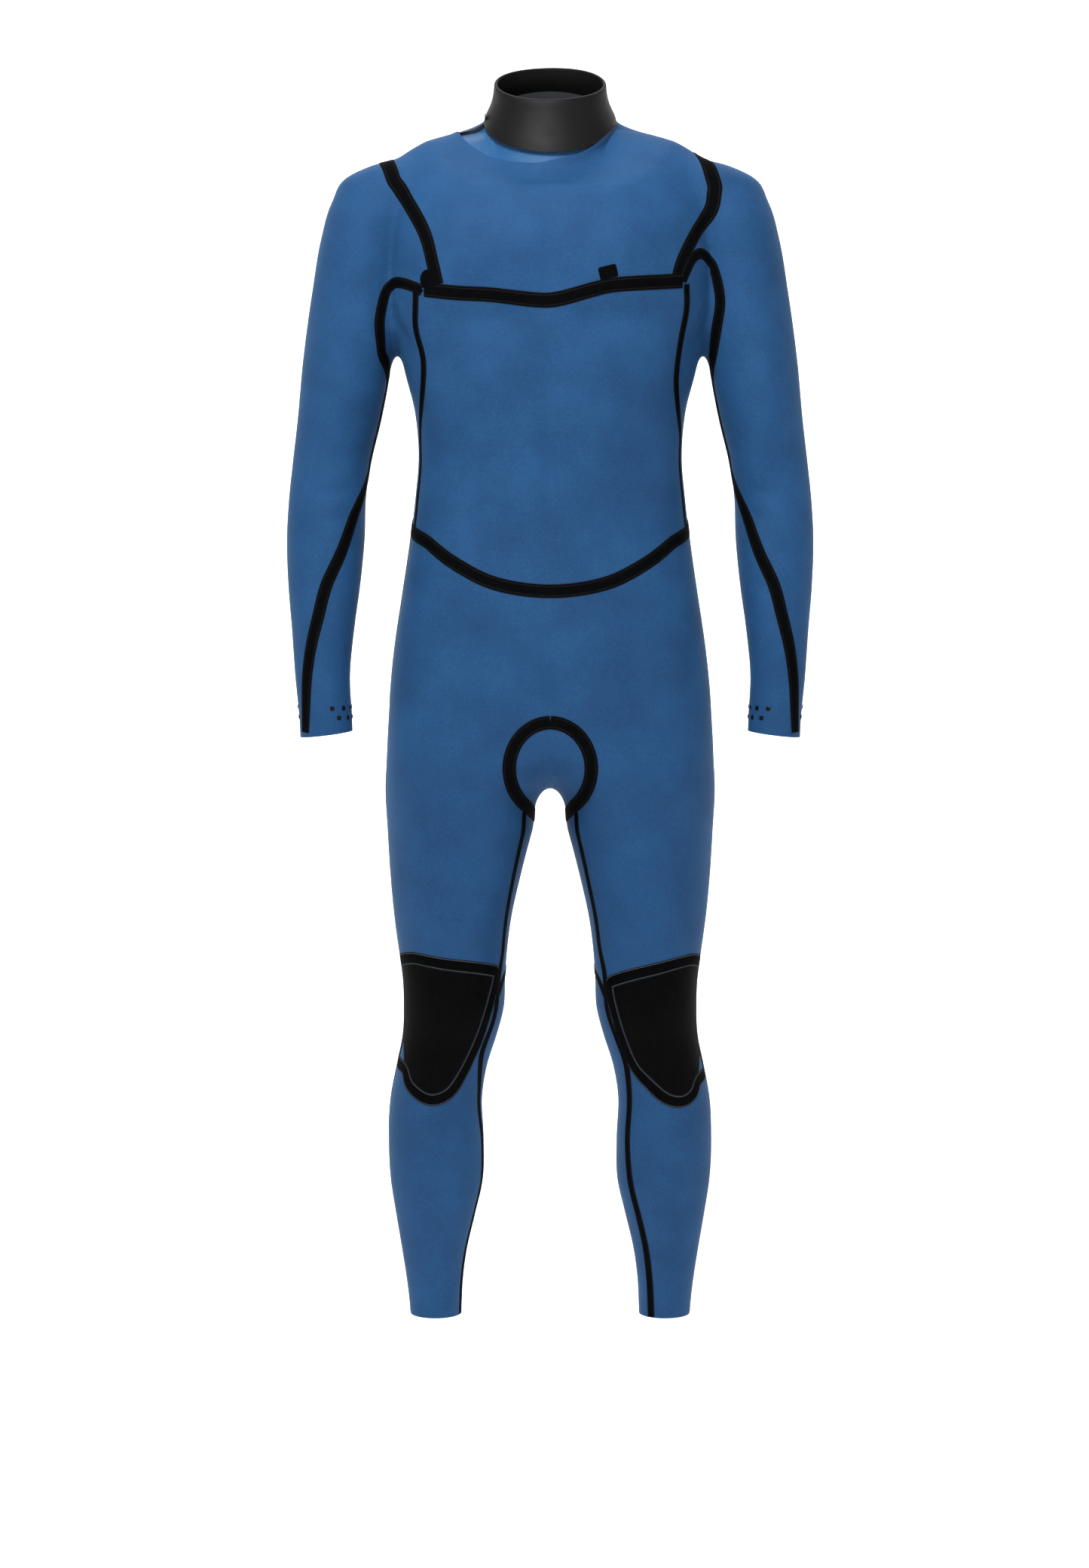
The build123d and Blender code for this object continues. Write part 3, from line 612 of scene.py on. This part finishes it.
# ---- materials --------------------------------------------------------------
class Nodes:
    """A material with its node tree, and short ways to add to it."""

    def __init__(self, name):
        self.material = bpy.data.materials.new(name)
        self.material.use_nodes = True
        self.tree = self.material.node_tree
        self.shader = self.tree.nodes["Principled BSDF"]

    def add(self, kind, inputs=(), **settings):
        node = self.tree.nodes.new("ShaderNode" + kind)
        for key, value in settings.items():
            setattr(node, key, value)
        for key, value in dict(inputs).items():
            if isinstance(value, bpy.types.NodeSocket):
                self.tree.links.new(value, node.inputs[key])
            else:
                node.inputs[key].default_value = value
        return node

    def maths(self, operation, a, b=0.0, c=0.0):
        return self.add("Math", {0: a, 1: b, 2: c}, operation=operation).outputs[0]

    def value(self, name):
        return self.add("Attribute", attribute_name=name).outputs["Fac"]

    def rest(self):
        return self.add("Attribute", attribute_name="rest").outputs["Vector"]

    def noise(self, vector, scale, detail=2.0, stretch=None):
        if stretch:
            vector = self.add("VectorMath", {0: vector, 1: stretch},
                              operation="MULTIPLY").outputs[0]
        return self.add("TexNoise", {"Vector": vector, "Scale": scale,
                                     "Detail": detail}).outputs["Fac"]

    def mix(self, share, a, b):
        node = self.add("Mix", data_type="RGBA")
        for socket, value in ((node.inputs[0], share), (node.inputs[6], a), (node.inputs[7], b)):
            if isinstance(value, bpy.types.NodeSocket):
                self.tree.links.new(value, socket)
            elif isinstance(value, tuple):
                socket.default_value = (*value, 1)
            else:
                socket.default_value = value
        return node.outputs[2]

    def finish(self, colour, height, depth, **settings):
        """Sets the shader: colour, bump height and its depth in metres, and constants."""
        if isinstance(colour, tuple):
            self.shader.inputs["Base Color"].default_value = (*colour, 1)
        else:
            self.tree.links.new(colour, self.shader.inputs["Base Color"])
        bump = self.add("Bump", {"Height": height, "Distance": depth, "Strength": 0.8})
        self.tree.links.new(bump.outputs[0], self.shader.inputs["Normal"])
        for key, value in settings.items():
            socket = self.shader.inputs[key.replace("_", " ")]
            if isinstance(value, bpy.types.NodeSocket):
                self.tree.links.new(value, socket)
            else:
                socket.default_value = value
        return self.material


def neoprene_cloth(name, dark, light, roughness):
    """Blue stretch jersey laminated on foam rubber: fine wales, a mottled nap, a soft sheen."""
    n = Nodes(name)
    at = n.rest()
    grain = n.noise(at, 1.5, 3.0, (1.0, 1.0, 1.6))
    flecks = n.noise(at, 0.45, 4.0)
    cloud = n.noise(at, 0.018, 3.0)
    wales = n.add("TexWave", {"Vector": at, "Scale": 0.38, "Distortion": 1.2, "Detail": 1.0,
                              "Detail Scale": 2.0}, bands_direction="X").outputs["Fac"]
    rows = n.add("TexWave", {"Vector": at, "Scale": 0.31, "Distortion": 1.2, "Detail": 1.0,
                             "Detail Scale": 2.0}, bands_direction="Z").outputs["Fac"]
    knit = n.maths("MULTIPLY", wales, rows)
    share = n.maths("MULTIPLY_ADD", grain, 0.55, n.maths("MULTIPLY", flecks, 0.45))
    share = n.maths("MULTIPLY_ADD", knit, 0.12, share)
    share = n.maths("MULTIPLY_ADD", cloud, 0.45, n.maths("SUBTRACT", share, 0.28))
    share = n.add("MapRange", {"Value": share, "From Min": 0.3, "From Max": 0.75}).outputs[0]
    colour = n.mix(share, dark, light)
    height = n.maths("MULTIPLY_ADD", grain, 0.6, n.maths("MULTIPLY", knit, 0.4))
    rough = n.add("MapRange", {"Value": flecks, "To Min": roughness,
                               "To Max": roughness + 0.16}).outputs[0]
    return n.finish(colour, height, 0.00025, Roughness=rough, Specular_IOR_Level=0.16,
                    Sheen_Weight=0.07, Sheen_Roughness=0.4,
                    Sheen_Tint=(0.2, 0.55, 0.9, 1))


def foam_rubber():
    """The cut edge and the black lining inside."""
    n = Nodes("neoprene_inside")
    cells = n.noise(n.rest(), 3.0, 2.0)
    colour = n.mix(cells, (0.006, 0.007, 0.009), (0.022, 0.024, 0.028))
    return n.finish(colour, cells, 0.0002, Roughness=0.85, Specular_IOR_Level=0.2)


def tape_cloth(name, thread_at, thread_share):
    """Black tape: a fine rib, edges caught with grey thread, and a row of stitches."""
    n = Nodes(name)
    across, along = n.maths("ABSOLUTE", n.value("across")), n.value("along")
    weave = n.noise(n.rest(), 2.4, 2.0)
    rib = n.maths("SINE", n.maths("MULTIPLY", along, 7.0))
    edge = n.add("MapRange", {"Value": across, "From Min": 0.9, "From Max": 0.97}).outputs[0]
    near_thread = n.maths("COMPARE", across, thread_at, 0.05)
    stitch = n.maths("LESS_THAN", n.maths("FRACT", n.maths("MULTIPLY", along, 0.4)), 0.68)
    stitch = n.maths("MULTIPLY", n.maths("MULTIPLY", near_thread, stitch), thread_share)
    base = n.mix(weave, (0.0006, 0.0007, 0.0008), (0.0022, 0.0024, 0.0028))
    base = n.mix(n.maths("MULTIPLY", edge, 0.45), base, (0.03, 0.045, 0.07))
    colour = n.mix(stitch, base, (0.16, 0.17, 0.18))
    height = n.maths("MULTIPLY_ADD", rib, 0.15, weave)
    height = n.maths("MULTIPLY_ADD", stitch, 0.8, height)
    return n.finish(colour, height, 0.0002, Roughness=0.8, Specular_IOR_Level=0.02)


def smooth_rubber(name, dark, light, roughness):
    """Black smooth-skin rubber, with a little grain."""
    n = Nodes(name)
    grain = n.noise(n.rest(), 1.6, 3.0)
    broad = n.noise(n.rest(), 0.08, 2.0)
    rough = n.add("MapRange", {"Value": broad, "To Min": roughness - 0.07,
                               "To Max": roughness + 0.1}).outputs[0]
    return n.finish(n.mix(grain, dark, light), grain, 0.00012, Roughness=rough,
                    Specular_IOR_Level=0.13)


def pad_cloth():
    """Black hard-wearing stretch cloth on the knees, in a close square weave."""
    n = Nodes("knee_pad")
    at = n.rest()
    warp = n.add("TexWave", {"Vector": at, "Scale": 0.26}, bands_direction="X").outputs["Fac"]
    weft = n.add("TexWave", {"Vector": at, "Scale": 0.26}, bands_direction="Z").outputs["Fac"]
    weave = n.maths("MULTIPLY", warp, weft)
    grain = n.noise(at, 1.2, 3.0)
    share = n.maths("MULTIPLY_ADD", weave, 0.45, n.maths("MULTIPLY", grain, 0.55))
    colour = n.mix(share, (0.0006, 0.0006, 0.0007), (0.0022, 0.0022, 0.0024))
    return n.finish(colour, share, 0.0003, Roughness=0.7, Specular_IOR_Level=0.03)


BLUE_DARK, BLUE_LIGHT = (0.006, 0.037, 0.104), (0.014, 0.072, 0.186)
NEOPRENE = neoprene_cloth("neoprene", BLUE_DARK, BLUE_LIGHT, 0.66)
SATIN = neoprene_cloth("neck_flap_cloth", (0.010, 0.055, 0.14), (0.022, 0.10, 0.24), 0.36)
INSIDE = foam_rubber()
TAPE = tape_cloth("seam_tape", 0.66, 0.06)
PAD_TAPE = tape_cloth("knee_pad_tape", 0.8, 0.5)
COLLAR_SKIN = smooth_rubber("collar_skin", (0.002, 0.002, 0.0024), (0.004, 0.004, 0.0046), 0.52)
GRIP = smooth_rubber("grip_rubber", (0.002, 0.002, 0.002), (0.004, 0.004, 0.004), 0.22)
PAD = pad_cloth()


# ---- fields that part the skin into panels ----------------------------------
def in_front(v):
    return SIDE_Y - v[:, 1]


def behind(v):
    return v[:, 1] - SIDE_Y


def within(outline):
    return lambda v: inside(seen(v), outline)


def without(outline):
    return lambda v: -inside(seen(v), outline)


def above(z):
    return lambda v: v[:, 2] - z


def below(z):
    return lambda v: z - v[:, 2]


def on_side(side):
    return lambda v: SIDES[side] * v[:, 0]


def under_collar(v):
    return COLLAR_Z + math.tan(math.radians(COLLAR_SLOPE)) * (v[:, 1] - COLLAR_Y) - v[:, 2]


def above_waist(v):
    """How far above the waist seam, which runs lower in front than behind."""
    p = seen(v)
    front = p[:, 1] - np.interp(p[:, 0], *np.array(smooth_line(WAIST_SEAM)).T)
    back = p[:, 1] - np.interp(p[:, 0], *np.array(smooth_line(BACK_WAIST)[::-1]).T)
    return np.where(v[:, 1] < SIDE_Y, front, back)


def below_waist(v):
    return -above_waist(v)


# the leg's outer seam and inside leg seam: (height, degrees from the front)
OUTER_SEAM = {
    "left": [(0, -100), (200, -100), (250, -96), (330, -92), (430, -92), (480, -98),
             (700, -100), (800, -98), (932, -92)],
    "right": [(0, -100), (200, -98), (250, -92), (330, -86), (430, -90), (480, -97),
              (700, -97), (760, -92), (800, -87), (932, -86)],
}
INSEAM = {
    "left": [(0, 33), (108, 40), (207, 52), (240, 52), (275, 48), (309, 43), (340, 45.5),
             (384, 51.7), (412, 53), (440, 60.5), (515, 60), (592, 57), (932, 57)],
    "right": [(0, 75), (207, 77), (225, 74), (273, 66.8), (321, 50), (350, 54), (384, 56.5),
              (412, 61), (435, 66), (515, 61), (592, 57), (932, 57)],
}


def seam_degrees(table, z):
    z_values, degrees = np.array(table, float).T
    return np.interp(z, z_values, degrees)


def leg_front(side):
    def field(v):
        angle = limb_angle(LEG, side, v)
        return np.minimum(seam_degrees(INSEAM[side], v[:, 2]) - angle,
                          angle - seam_degrees(OUTER_SEAM[side], v[:, 2]))
    return field


def leg_back(side):
    front = leg_front(side)
    return lambda v: -front(v)


def seam_route(side, table, low, high):
    heights = np.linspace(high, low, max(3, int((high - low) / 14)))
    return [limb_point(LEG, side, z, seam_degrees(table[side], z)) for z in heights]


CROTCH = (0.0, 646.0, 48.0, 54.0)         # the gusset's oval: centre, half sizes
OVAL = [(CROTCH[2] * math.sin(a), CROTCH[1] + CROTCH[3] * math.cos(a))
        for a in np.linspace(0, 2 * math.pi, 48, endpoint=False)]


def inset(outline, by):
    """A closed outline moved inward."""
    line = smooth_line(outline, 4.0, True)
    way = np.roll(line, -1, 0) - np.roll(line, 1, 0)
    way /= np.linalg.norm(way, axis=1, keepdims=True)
    normal = np.stack([-way[:, 1], way[:, 0]], 1)
    area = np.sum(line[:, 0] * np.roll(line[:, 1], -1) - line[:, 1] * np.roll(line[:, 0], -1))
    return line + normal * by * np.sign(area)


def side_outline(side):
    """The panel under the arm, from the waist up into the armhole."""
    s = SIDES[side]
    return (SIDE_SEAM[side] + [(s * 158, 915), (s * 180, 915), (s * 182, 1090)]
            + UNDERARM_SEAM[side][-3::-1])


def sleeve_outline(side):
    s = SIDES[side]
    return (SHOULDER_SEAM[side] + UNDERARM_SEAM[side][:-2]
            + [(s * 182, 1090), (s * 200, 1000), (s * 205, 600), (s * 450, 600),
               (s * 450, 1400), (s * 230, 1385)])


CHEST_OUTLINE = (CHEST_SEAM + SHOULDER_SEAM["left"][::-1] + [(120, 1470), (84, 1470)]
                 + [tuple(p) for p in smooth_line(NECK_EDGE, 5.0)[::-1]] + [(-108, 1470)]
                 + SHOULDER_SEAM["right"])
BELLY_OUTLINE = (CHEST_SEAM + SIDE_SEAM["left"] + [(170, 840), (-170, 840)]
                 + SIDE_SEAM["right"][::-1])


# ---- pieces -----------------------------------------------------------------
def bend(piece):
    """Bakes the piece's placement into its mesh; nothing here makes it bend."""
    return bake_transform(piece)


def finish_piece(piece, nodes):
    if nodes:
        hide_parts(*nodes)
    return piece


CLOTH = (NEOPRENE, INSIDE)


def free_edge(v):
    """The chest panel stands a little off the flap along its free edge at the neck."""
    away = seen(v)[:, None] - smooth_line(NECK_EDGE, 6.0)[None]
    return 2.6 * np.exp(-(np.linalg.norm(away, axis=2).min(1) / 9) ** 2)


def neoprene(name, fields, nodes, joint=None, lift=0.0):
    """A neoprene panel, from its fields to its CAD nodes."""
    piece = panel(name, carve(*fields), CLOTH, lift=lift)
    if joint:
        bend(piece)
    else:
        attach(piece, "trunk")
    return finish_piece(piece, nodes)


def above_cuff(v):
    """The sleeve ends a little lower on its outer side."""
    return v[:, 2] - CUFF_Z + 0.12 * (np.abs(v[:, 0]) - 250)


def on_body(v):
    """Above 0 on the trunk and legs, below 0 on the hanging arms."""
    return ARM_X - np.abs(v[:, 0])


neoprene("chest_panel", [in_front, within(CHEST_OUTLINE), under_collar], ["chest_panel"],
         lift=free_edge)
neoprene("belly_panel", [in_front, within(BELLY_OUTLINE), above_waist], ["belly_panel"])
neoprene("upper_back_panel", [behind, above_waist, on_body, under_collar]
         + [without(outline(side)) for side in SIDES for outline in (side_outline, sleeve_outline)],
         ["upper_back_panel"])
for side in SIDES:
    part = side + "_"
    neoprene(part + "side_panel", [within(side_outline(side)), above_waist],
             [part + "side_panel"])
    neoprene(part + "upper_sleeve", [within(sleeve_outline(side)), above(ELBOW_SPLIT)],
             [part + x for x in ("sleeve_cap", "shoulder_sleeve", "upper_sleeve")],
             "shoulder")
    neoprene(part + "lower_sleeve",
             [within(sleeve_outline(side)), below(ELBOW_SPLIT), above_cuff],
             [part + x for x in ("elbow_sleeve", "forearm_sleeve", "cuff_band")],
             "elbow")
    upper = [on_side(side), on_body, below_waist, above(THIGH_SPLIT), without(OVAL)]
    lower = [on_side(side), on_body, below(THIGH_SPLIT), above(HEM_Z)]
    thigh = [part + "hip_panel", part + "thigh_panel"]
    pad_edge = inset(KNEE_PAD[side], WIDE_TAPE / 2)
    neoprene(part + "front_leg_upper", upper + [leg_front(side)], ["front_hip_panel"] + thigh,
             "hip")
    neoprene(part + "back_leg_upper", upper + [leg_back(side)], ["seat_panel"] + thigh,
             "hip")
    neoprene(part + "front_leg_lower", lower + [leg_front(side), without(pad_edge)],
             [part + x for x in ("knee_sleeve", "shin_panel", "ankle_band")], "knee")
    neoprene(part + "back_leg_lower", lower + [leg_back(side)],
             [part + x for x in ("knee_sleeve", "calf_panel", "ankle_band")], "knee")
    neoprene(part + "crotch_gusset", [on_side(side), on_body, within(OVAL)],
             ["crotch_gusset"], "hip")
    pad = panel(part + "knee_pad", carve(*lower, leg_front(side), within(pad_edge)),
                (PAD, INSIDE), lift=0.15)
    bend(pad)
    finish_piece(pad, [part + "knee_pad"])

# ---- tapes glued over the seams ---------------------------------------------
def seam(name, made, nodes=(), joint=None, first=0, last=None, material=TAPE):
    piece = tape(name, made, material, first, last)
    if joint:
        bend(piece)
    else:
        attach(piece, "trunk")
    return finish_piece(piece, nodes)


def row_at(made, z):
    """The row of a ribbon that runs downward where it passes a height."""
    heights = made[0][:, len(ACROSS) // 2, 2]
    return int(np.flatnonzero(heights > z)[-1]) + 1


seam("chest_tape", ribbon(seen_line(CHEST_SEAM), 17.5, high=TAPE_HIGH + 0.25), ["chest_tape"])
waist = (seen_line(WAIST_SEAM[1:-1]) + [tuple(surface_at((170, SIDE_Y, 931))[0])]
         + seen_line(BACK_WAIST[1:-1], True) + [tuple(surface_at((-170, SIDE_Y, 931))[0])])
seam("waist_tape", ribbon(waist, WIDE_TAPE, True, TAPE_HIGH + 0.2), ["waist_tape"])
for side in SIDES:
    part, s = side + "_", SIDES[side]
    shoulder = SHOULDER_SEAM[side]
    down_side = [(SIDE_SEAM[side][0][0], 1209 if side == "left" else 1200)] + SIDE_SEAM[side]
    over = (seen_line(shoulder[::-1][:-1]) + [tuple(surface_at((shoulder[0][0], SIDE_Y, 1376))[0])]
            + seen_line(shoulder[1:], True))
    seam(part + "shoulder_tape", ribbon(over, 17.5), [part + "shoulder_tape"])
    seam(part + "side_tape", ribbon(seen_line(down_side), NARROW_TAPE, high=0.6),
         [part + "side_tape"])
    seam(part + "side_tape_behind", ribbon(seen_line(down_side, True), NARROW_TAPE,
                                           high=0.6), [part + "side_tape"])
    inner = [limb_point(ARM, side, z, 84) for z in (1098, 1070, 1040, 1010, 988)]
    forearm = [limb_point(ARM, side, z, a) for z, a in (
        (940, 47), (900, 28), (862, 7), (827, -5), (790, -20), (754, -32), (717, -44),
        (692, -51))]
    sleeve = ribbon(seen_line(UNDERARM_SEAM[side]) + inner + forearm,
                    [(690, 15.0), (1150, 14.5), (1215, 13.0)])
    row = row_at(sleeve, ELBOW_SPLIT)
    seam(part + "underarm_tape", sleeve, [part + "underarm_tape"], "shoulder",
         last=row + 1)
    seam(part + "forearm_tape", sleeve, [part + "forearm_tape"], "elbow", first=row)
    behind_arm = seen_line(UNDERARM_SEAM[side], True) + [limb_point(ARM, side, 1100, 96)]
    seam(part + "underarm_tape_behind", ribbon(behind_arm, NARROW_TAPE, high=0.6),
         [part + "underarm_tape"], "shoulder")

    inside_leg = ribbon(seam_route(side, INSEAM, HEM_Z + 1, 603), NARROW_TAPE)
    row = row_at(inside_leg, THIGH_SPLIT)
    seam(part + "inner_thigh_tape", inside_leg, [part + "inner_thigh_tape"], "hip",
         last=row + 1)
    seam(part + "shin_tape", inside_leg, [part + "shin_tape"], "knee", first=row)
    angles = np.linspace(seam_degrees(INSEAM[side], 388), 262, 14)
    heights = 417 - 31 * np.exp(-(angles - angles[0]) / 20)
    knee_back = [limb_point(LEG, side, z, a) for z, a in zip(heights, angles)]
    seam(part + "knee_back_tape", ribbon(knee_back, NARROW_TAPE, high=0.6), (), "knee")
    outer = ribbon(seam_route(side, OUTER_SEAM, HEM_Z + 1, 924), NARROW_TAPE, high=0.6)
    row = row_at(outer, THIGH_SPLIT)
    seam(part + "outer_thigh_tape", outer, (), "hip", last=row + 1)
    seam(part + "outer_shin_tape", outer, (), "knee", first=row)

    half_oval = [(s * x, z) for x, z in OVAL[:20]]
    crotch = (seen_line(half_oval) + [tuple(surface_at((s * 4, SIDE_Y, 590))[0])]
              + seen_line(half_oval[::-1], True))
    seam(part + "crotch_tape", ribbon(crotch, WIDE_TAPE, high=TAPE_HIGH + 0.2), ["crotch_tape"],
         "hip")

    ring = []
    for x, z in inset(KNEE_PAD[side], WIDE_TAPE / 2):
        centre, _, half, front, back, _ = station(LEG, z)[0]
        if abs(x) > centre + half - 7:
            ring.append(limb_point(LEG, side, z, -84))
        else:
            ring.append(seen_at(x, z))
    seam(part + "knee_pad_tape", ribbon(ring[::3], 15.0, True), [part + "knee_pad_tape"],
         "knee", material=PAD_TAPE)

tab = patch("chest_tab", seen_at(67, 1223), 10.5, 7.5, 14, 8, TAPE_HIGH + 0.1, TAPE)
finish_piece(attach(tab, "trunk"), ["chest_tab"])
corner = patch("corner_patch", seen_at(-141, 1214), 12, 12, 0, 2, TAPE_HIGH + 0.7, TAPE)
finish_piece(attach(corner, "trunk"), [])
for side in SIDES:
    dots = []
    for row, z in enumerate((720, 709)):
        for k in range(10):
            place = limb_point(ARM, side, z, 19 + 27.7 * (k + row / 2))
            dots.append(patch("dot", place, 2.5, 2.5, 0, 7, 1.0, GRIP, 3))
    dots = joined(side + "_grip_dots", dots)
    finish_piece(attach(dots, side + "_forearm"), [side + "_grip_dots"])


# ---- neck -------------------------------------------------------------------
def make_collar():
    """A tube of smooth-skin rubber, from the sloping collar seam to a rolled top edge.

    t runs from 0 at the seam to 1 at the top; the tube begins a little under the seam."""
    around, start = 120, -0.08
    angle = np.linspace(0, 2 * math.pi, around, endpoint=False)
    rows = []
    levels = ([(t, 0.0) for t in np.linspace(start, 1, 12)]
              + [(1 + 0.045 * math.sin(a), 1.9 * (1 - math.cos(a)))
                 for a in np.linspace(0.3, math.pi - 0.3, 7)]
              + [(t, 3.8) for t in np.linspace(1, start, 12)])
    for t, depth in levels:
        hollow = math.sin(math.pi * min(max(t, 0), 1))
        half = 76.0 - 11.0 * t - 2.5 * hollow - depth
        deep = 77.0 - 16.5 * t - 2.0 * hollow - depth
        slope = math.radians(COLLAR_SLOPE - 6 * t)
        middle = np.array([0, COLLAR_Y, COLLAR_Z + 39.5 * t])
        x = half * np.sin(angle)
        d = -deep * np.cos(angle)
        wave = 0.5 * np.sin(3 * angle + 1) * t
        rows.append(middle + np.stack([x, d * math.cos(slope), d * math.sin(slope) + wave], 1))
    v = np.vstack(rows)
    i = np.arange(around)
    j = (i + 1) % around
    faces = []
    for k in range(len(levels)):
        a, b = k * around, (k + 1) % len(levels) * around
        faces.append(np.stack([a + i, a + j, b + j, b + i], 1))
    return build("collar", v, faces, [0] * len(faces), [COLLAR_SKIN])


finish_piece(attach(make_collar(), "collar"), ["collar"])
# the flap of thinner neoprene inside the neck entry: in front, from just above the collar's base to
# 60 mm under it, sunk one wall under the skin
flap = panel("neck_flap", carve(lambda v: under_collar(v) + 3, lambda v: 60 - under_collar(v),
                                lambda v: 118 - np.abs(v[:, 0]), in_front),
             (SATIN, INSIDE), wall=FLAP_WALL, lift=-WALL)
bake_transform(flap)
finish_piece(flap, ["neck_flap"])

# Painted shade: a black rubber strip laid along the gap between the back panel and the flap, on the
# wearer's right of the neck entry, darkening the gap as its shade would.
gap_shade = tape("entry_gap_shade", ribbon(seen_line([(-106, 1389), (-97, 1393), (-86, 1398), (-75, 1404)]),
                                   [(1380, 4.0), (1404, 9.0)], high=0.5), COLLAR_SKIN)
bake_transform(gap_shade)
finish_piece(gap_shade, [])

# ---- floor, light, camera ---------------------------------------------------
FEET_BELOW_HEM = 0.165                    # metres from the hem down to the floor
FLOOR_RADIUS = 6.0
def plain(name, colour, roughness):
    material = bpy.data.materials.new(name)
    material.use_nodes = True
    shader = material.node_tree.nodes["Principled BSDF"]
    shader.inputs["Base Color"].default_value = (*colour, 1)
    shader.inputs["Roughness"].default_value = roughness
    return material


def sheet_of_paper():
    """A round pale floor that curves up into a wall all round, glowing behind the suit."""
    profile = [(0.001, 0.0), (2.5, 0.0), (FLOOR_RADIUS, 0.0)] + [
        (FLOOR_RADIUS + 1.6 * math.sin(a), 1.6 - 1.6 * math.cos(a))
        for a in np.linspace(0.1, math.pi / 2, 10)] + [(FLOOR_RADIUS + 1.6, 7.0)]
    around = 96
    angle = np.linspace(0, 2 * math.pi, around, endpoint=False)
    points = [(r * math.cos(a), r * math.sin(a), z - FEET_BELOW_HEM)
              for r, z in profile for a in angle]
    faces, slots = [], []
    for k in range(len(profile) - 1):
        for i in range(around):
            j = (i + 1) % around
            faces.append((k * around + i, k * around + j, (k + 1) * around + j,
                          (k + 1) * around + i))
            slots.append(0 if k < 2 or math.sin(angle[i]) > 0.35 else 1)
    mesh = bpy.data.meshes.new("floor")
    mesh.from_pydata(points, [], faces)
    mesh.polygons.foreach_set("use_smooth", [True] * len(faces))
    for name, glow in (("floor", 0.45), ("far_wall", 0.1)):
        material = plain(name, (0.9, 0.9, 0.91), 0.9)
        shader = material.node_tree.nodes["Principled BSDF"]
        shader.inputs["Emission Color"].default_value = (1, 1, 1, 1)
        shader.inputs["Emission Strength"].default_value = glow
        mesh.materials.append(material)
    mesh.polygons.foreach_set("material_index", slots)
    paper = bpy.data.objects.new("floor", mesh)
    bpy.context.scene.collection.objects.link(paper)
    return paper


sheet_of_paper()


def area_light(name, place, size, power, target=(0, 0, 0.9)):
    light = bpy.data.lights.new(name, "AREA")
    light.shape, light.size, light.energy = "DISK", size, power
    lamp = bpy.data.objects.new(name, light)
    lamp.location = place
    lamp.rotation_euler = (Vector(target) - Vector(place)).to_track_quat("-Z", "Y").to_euler()
    bpy.context.scene.collection.objects.link(lamp)


area_light("key", (-0.4, -1.45, 2.75), 0.7, 74, (0, 0, 1.15))
area_light("fill", (1.9, -2.4, 2.2), 1.4, 6)
area_light("wall", (0, 2.6, 5.4), 3.0, 330, (0, 6.6, 0.8))
world = bpy.data.worlds.new("studio")
world.use_nodes = True
world.node_tree.nodes["Background"].inputs[0].default_value = (0.95, 0.97, 1, 1)
world.node_tree.nodes["Background"].inputs[1].default_value = 0.08
bpy.context.scene.world = world
bpy.context.scene.view_settings.view_transform = "Standard"

lens = bpy.data.cameras.new("camera")
lens.lens, lens.sensor_width = 83.0, 36
lens.shift_y = -0.1102                    # the suit stands high in the photo
camera = bpy.data.objects.new("camera", lens)
camera.location = (-0.0066, -VIEW_DISTANCE * MM, VIEW_HEIGHT * MM)
camera.rotation_euler = (math.radians(87), 0, 0)
bpy.context.scene.collection.objects.link(camera)
bpy.context.scene.camera = camera
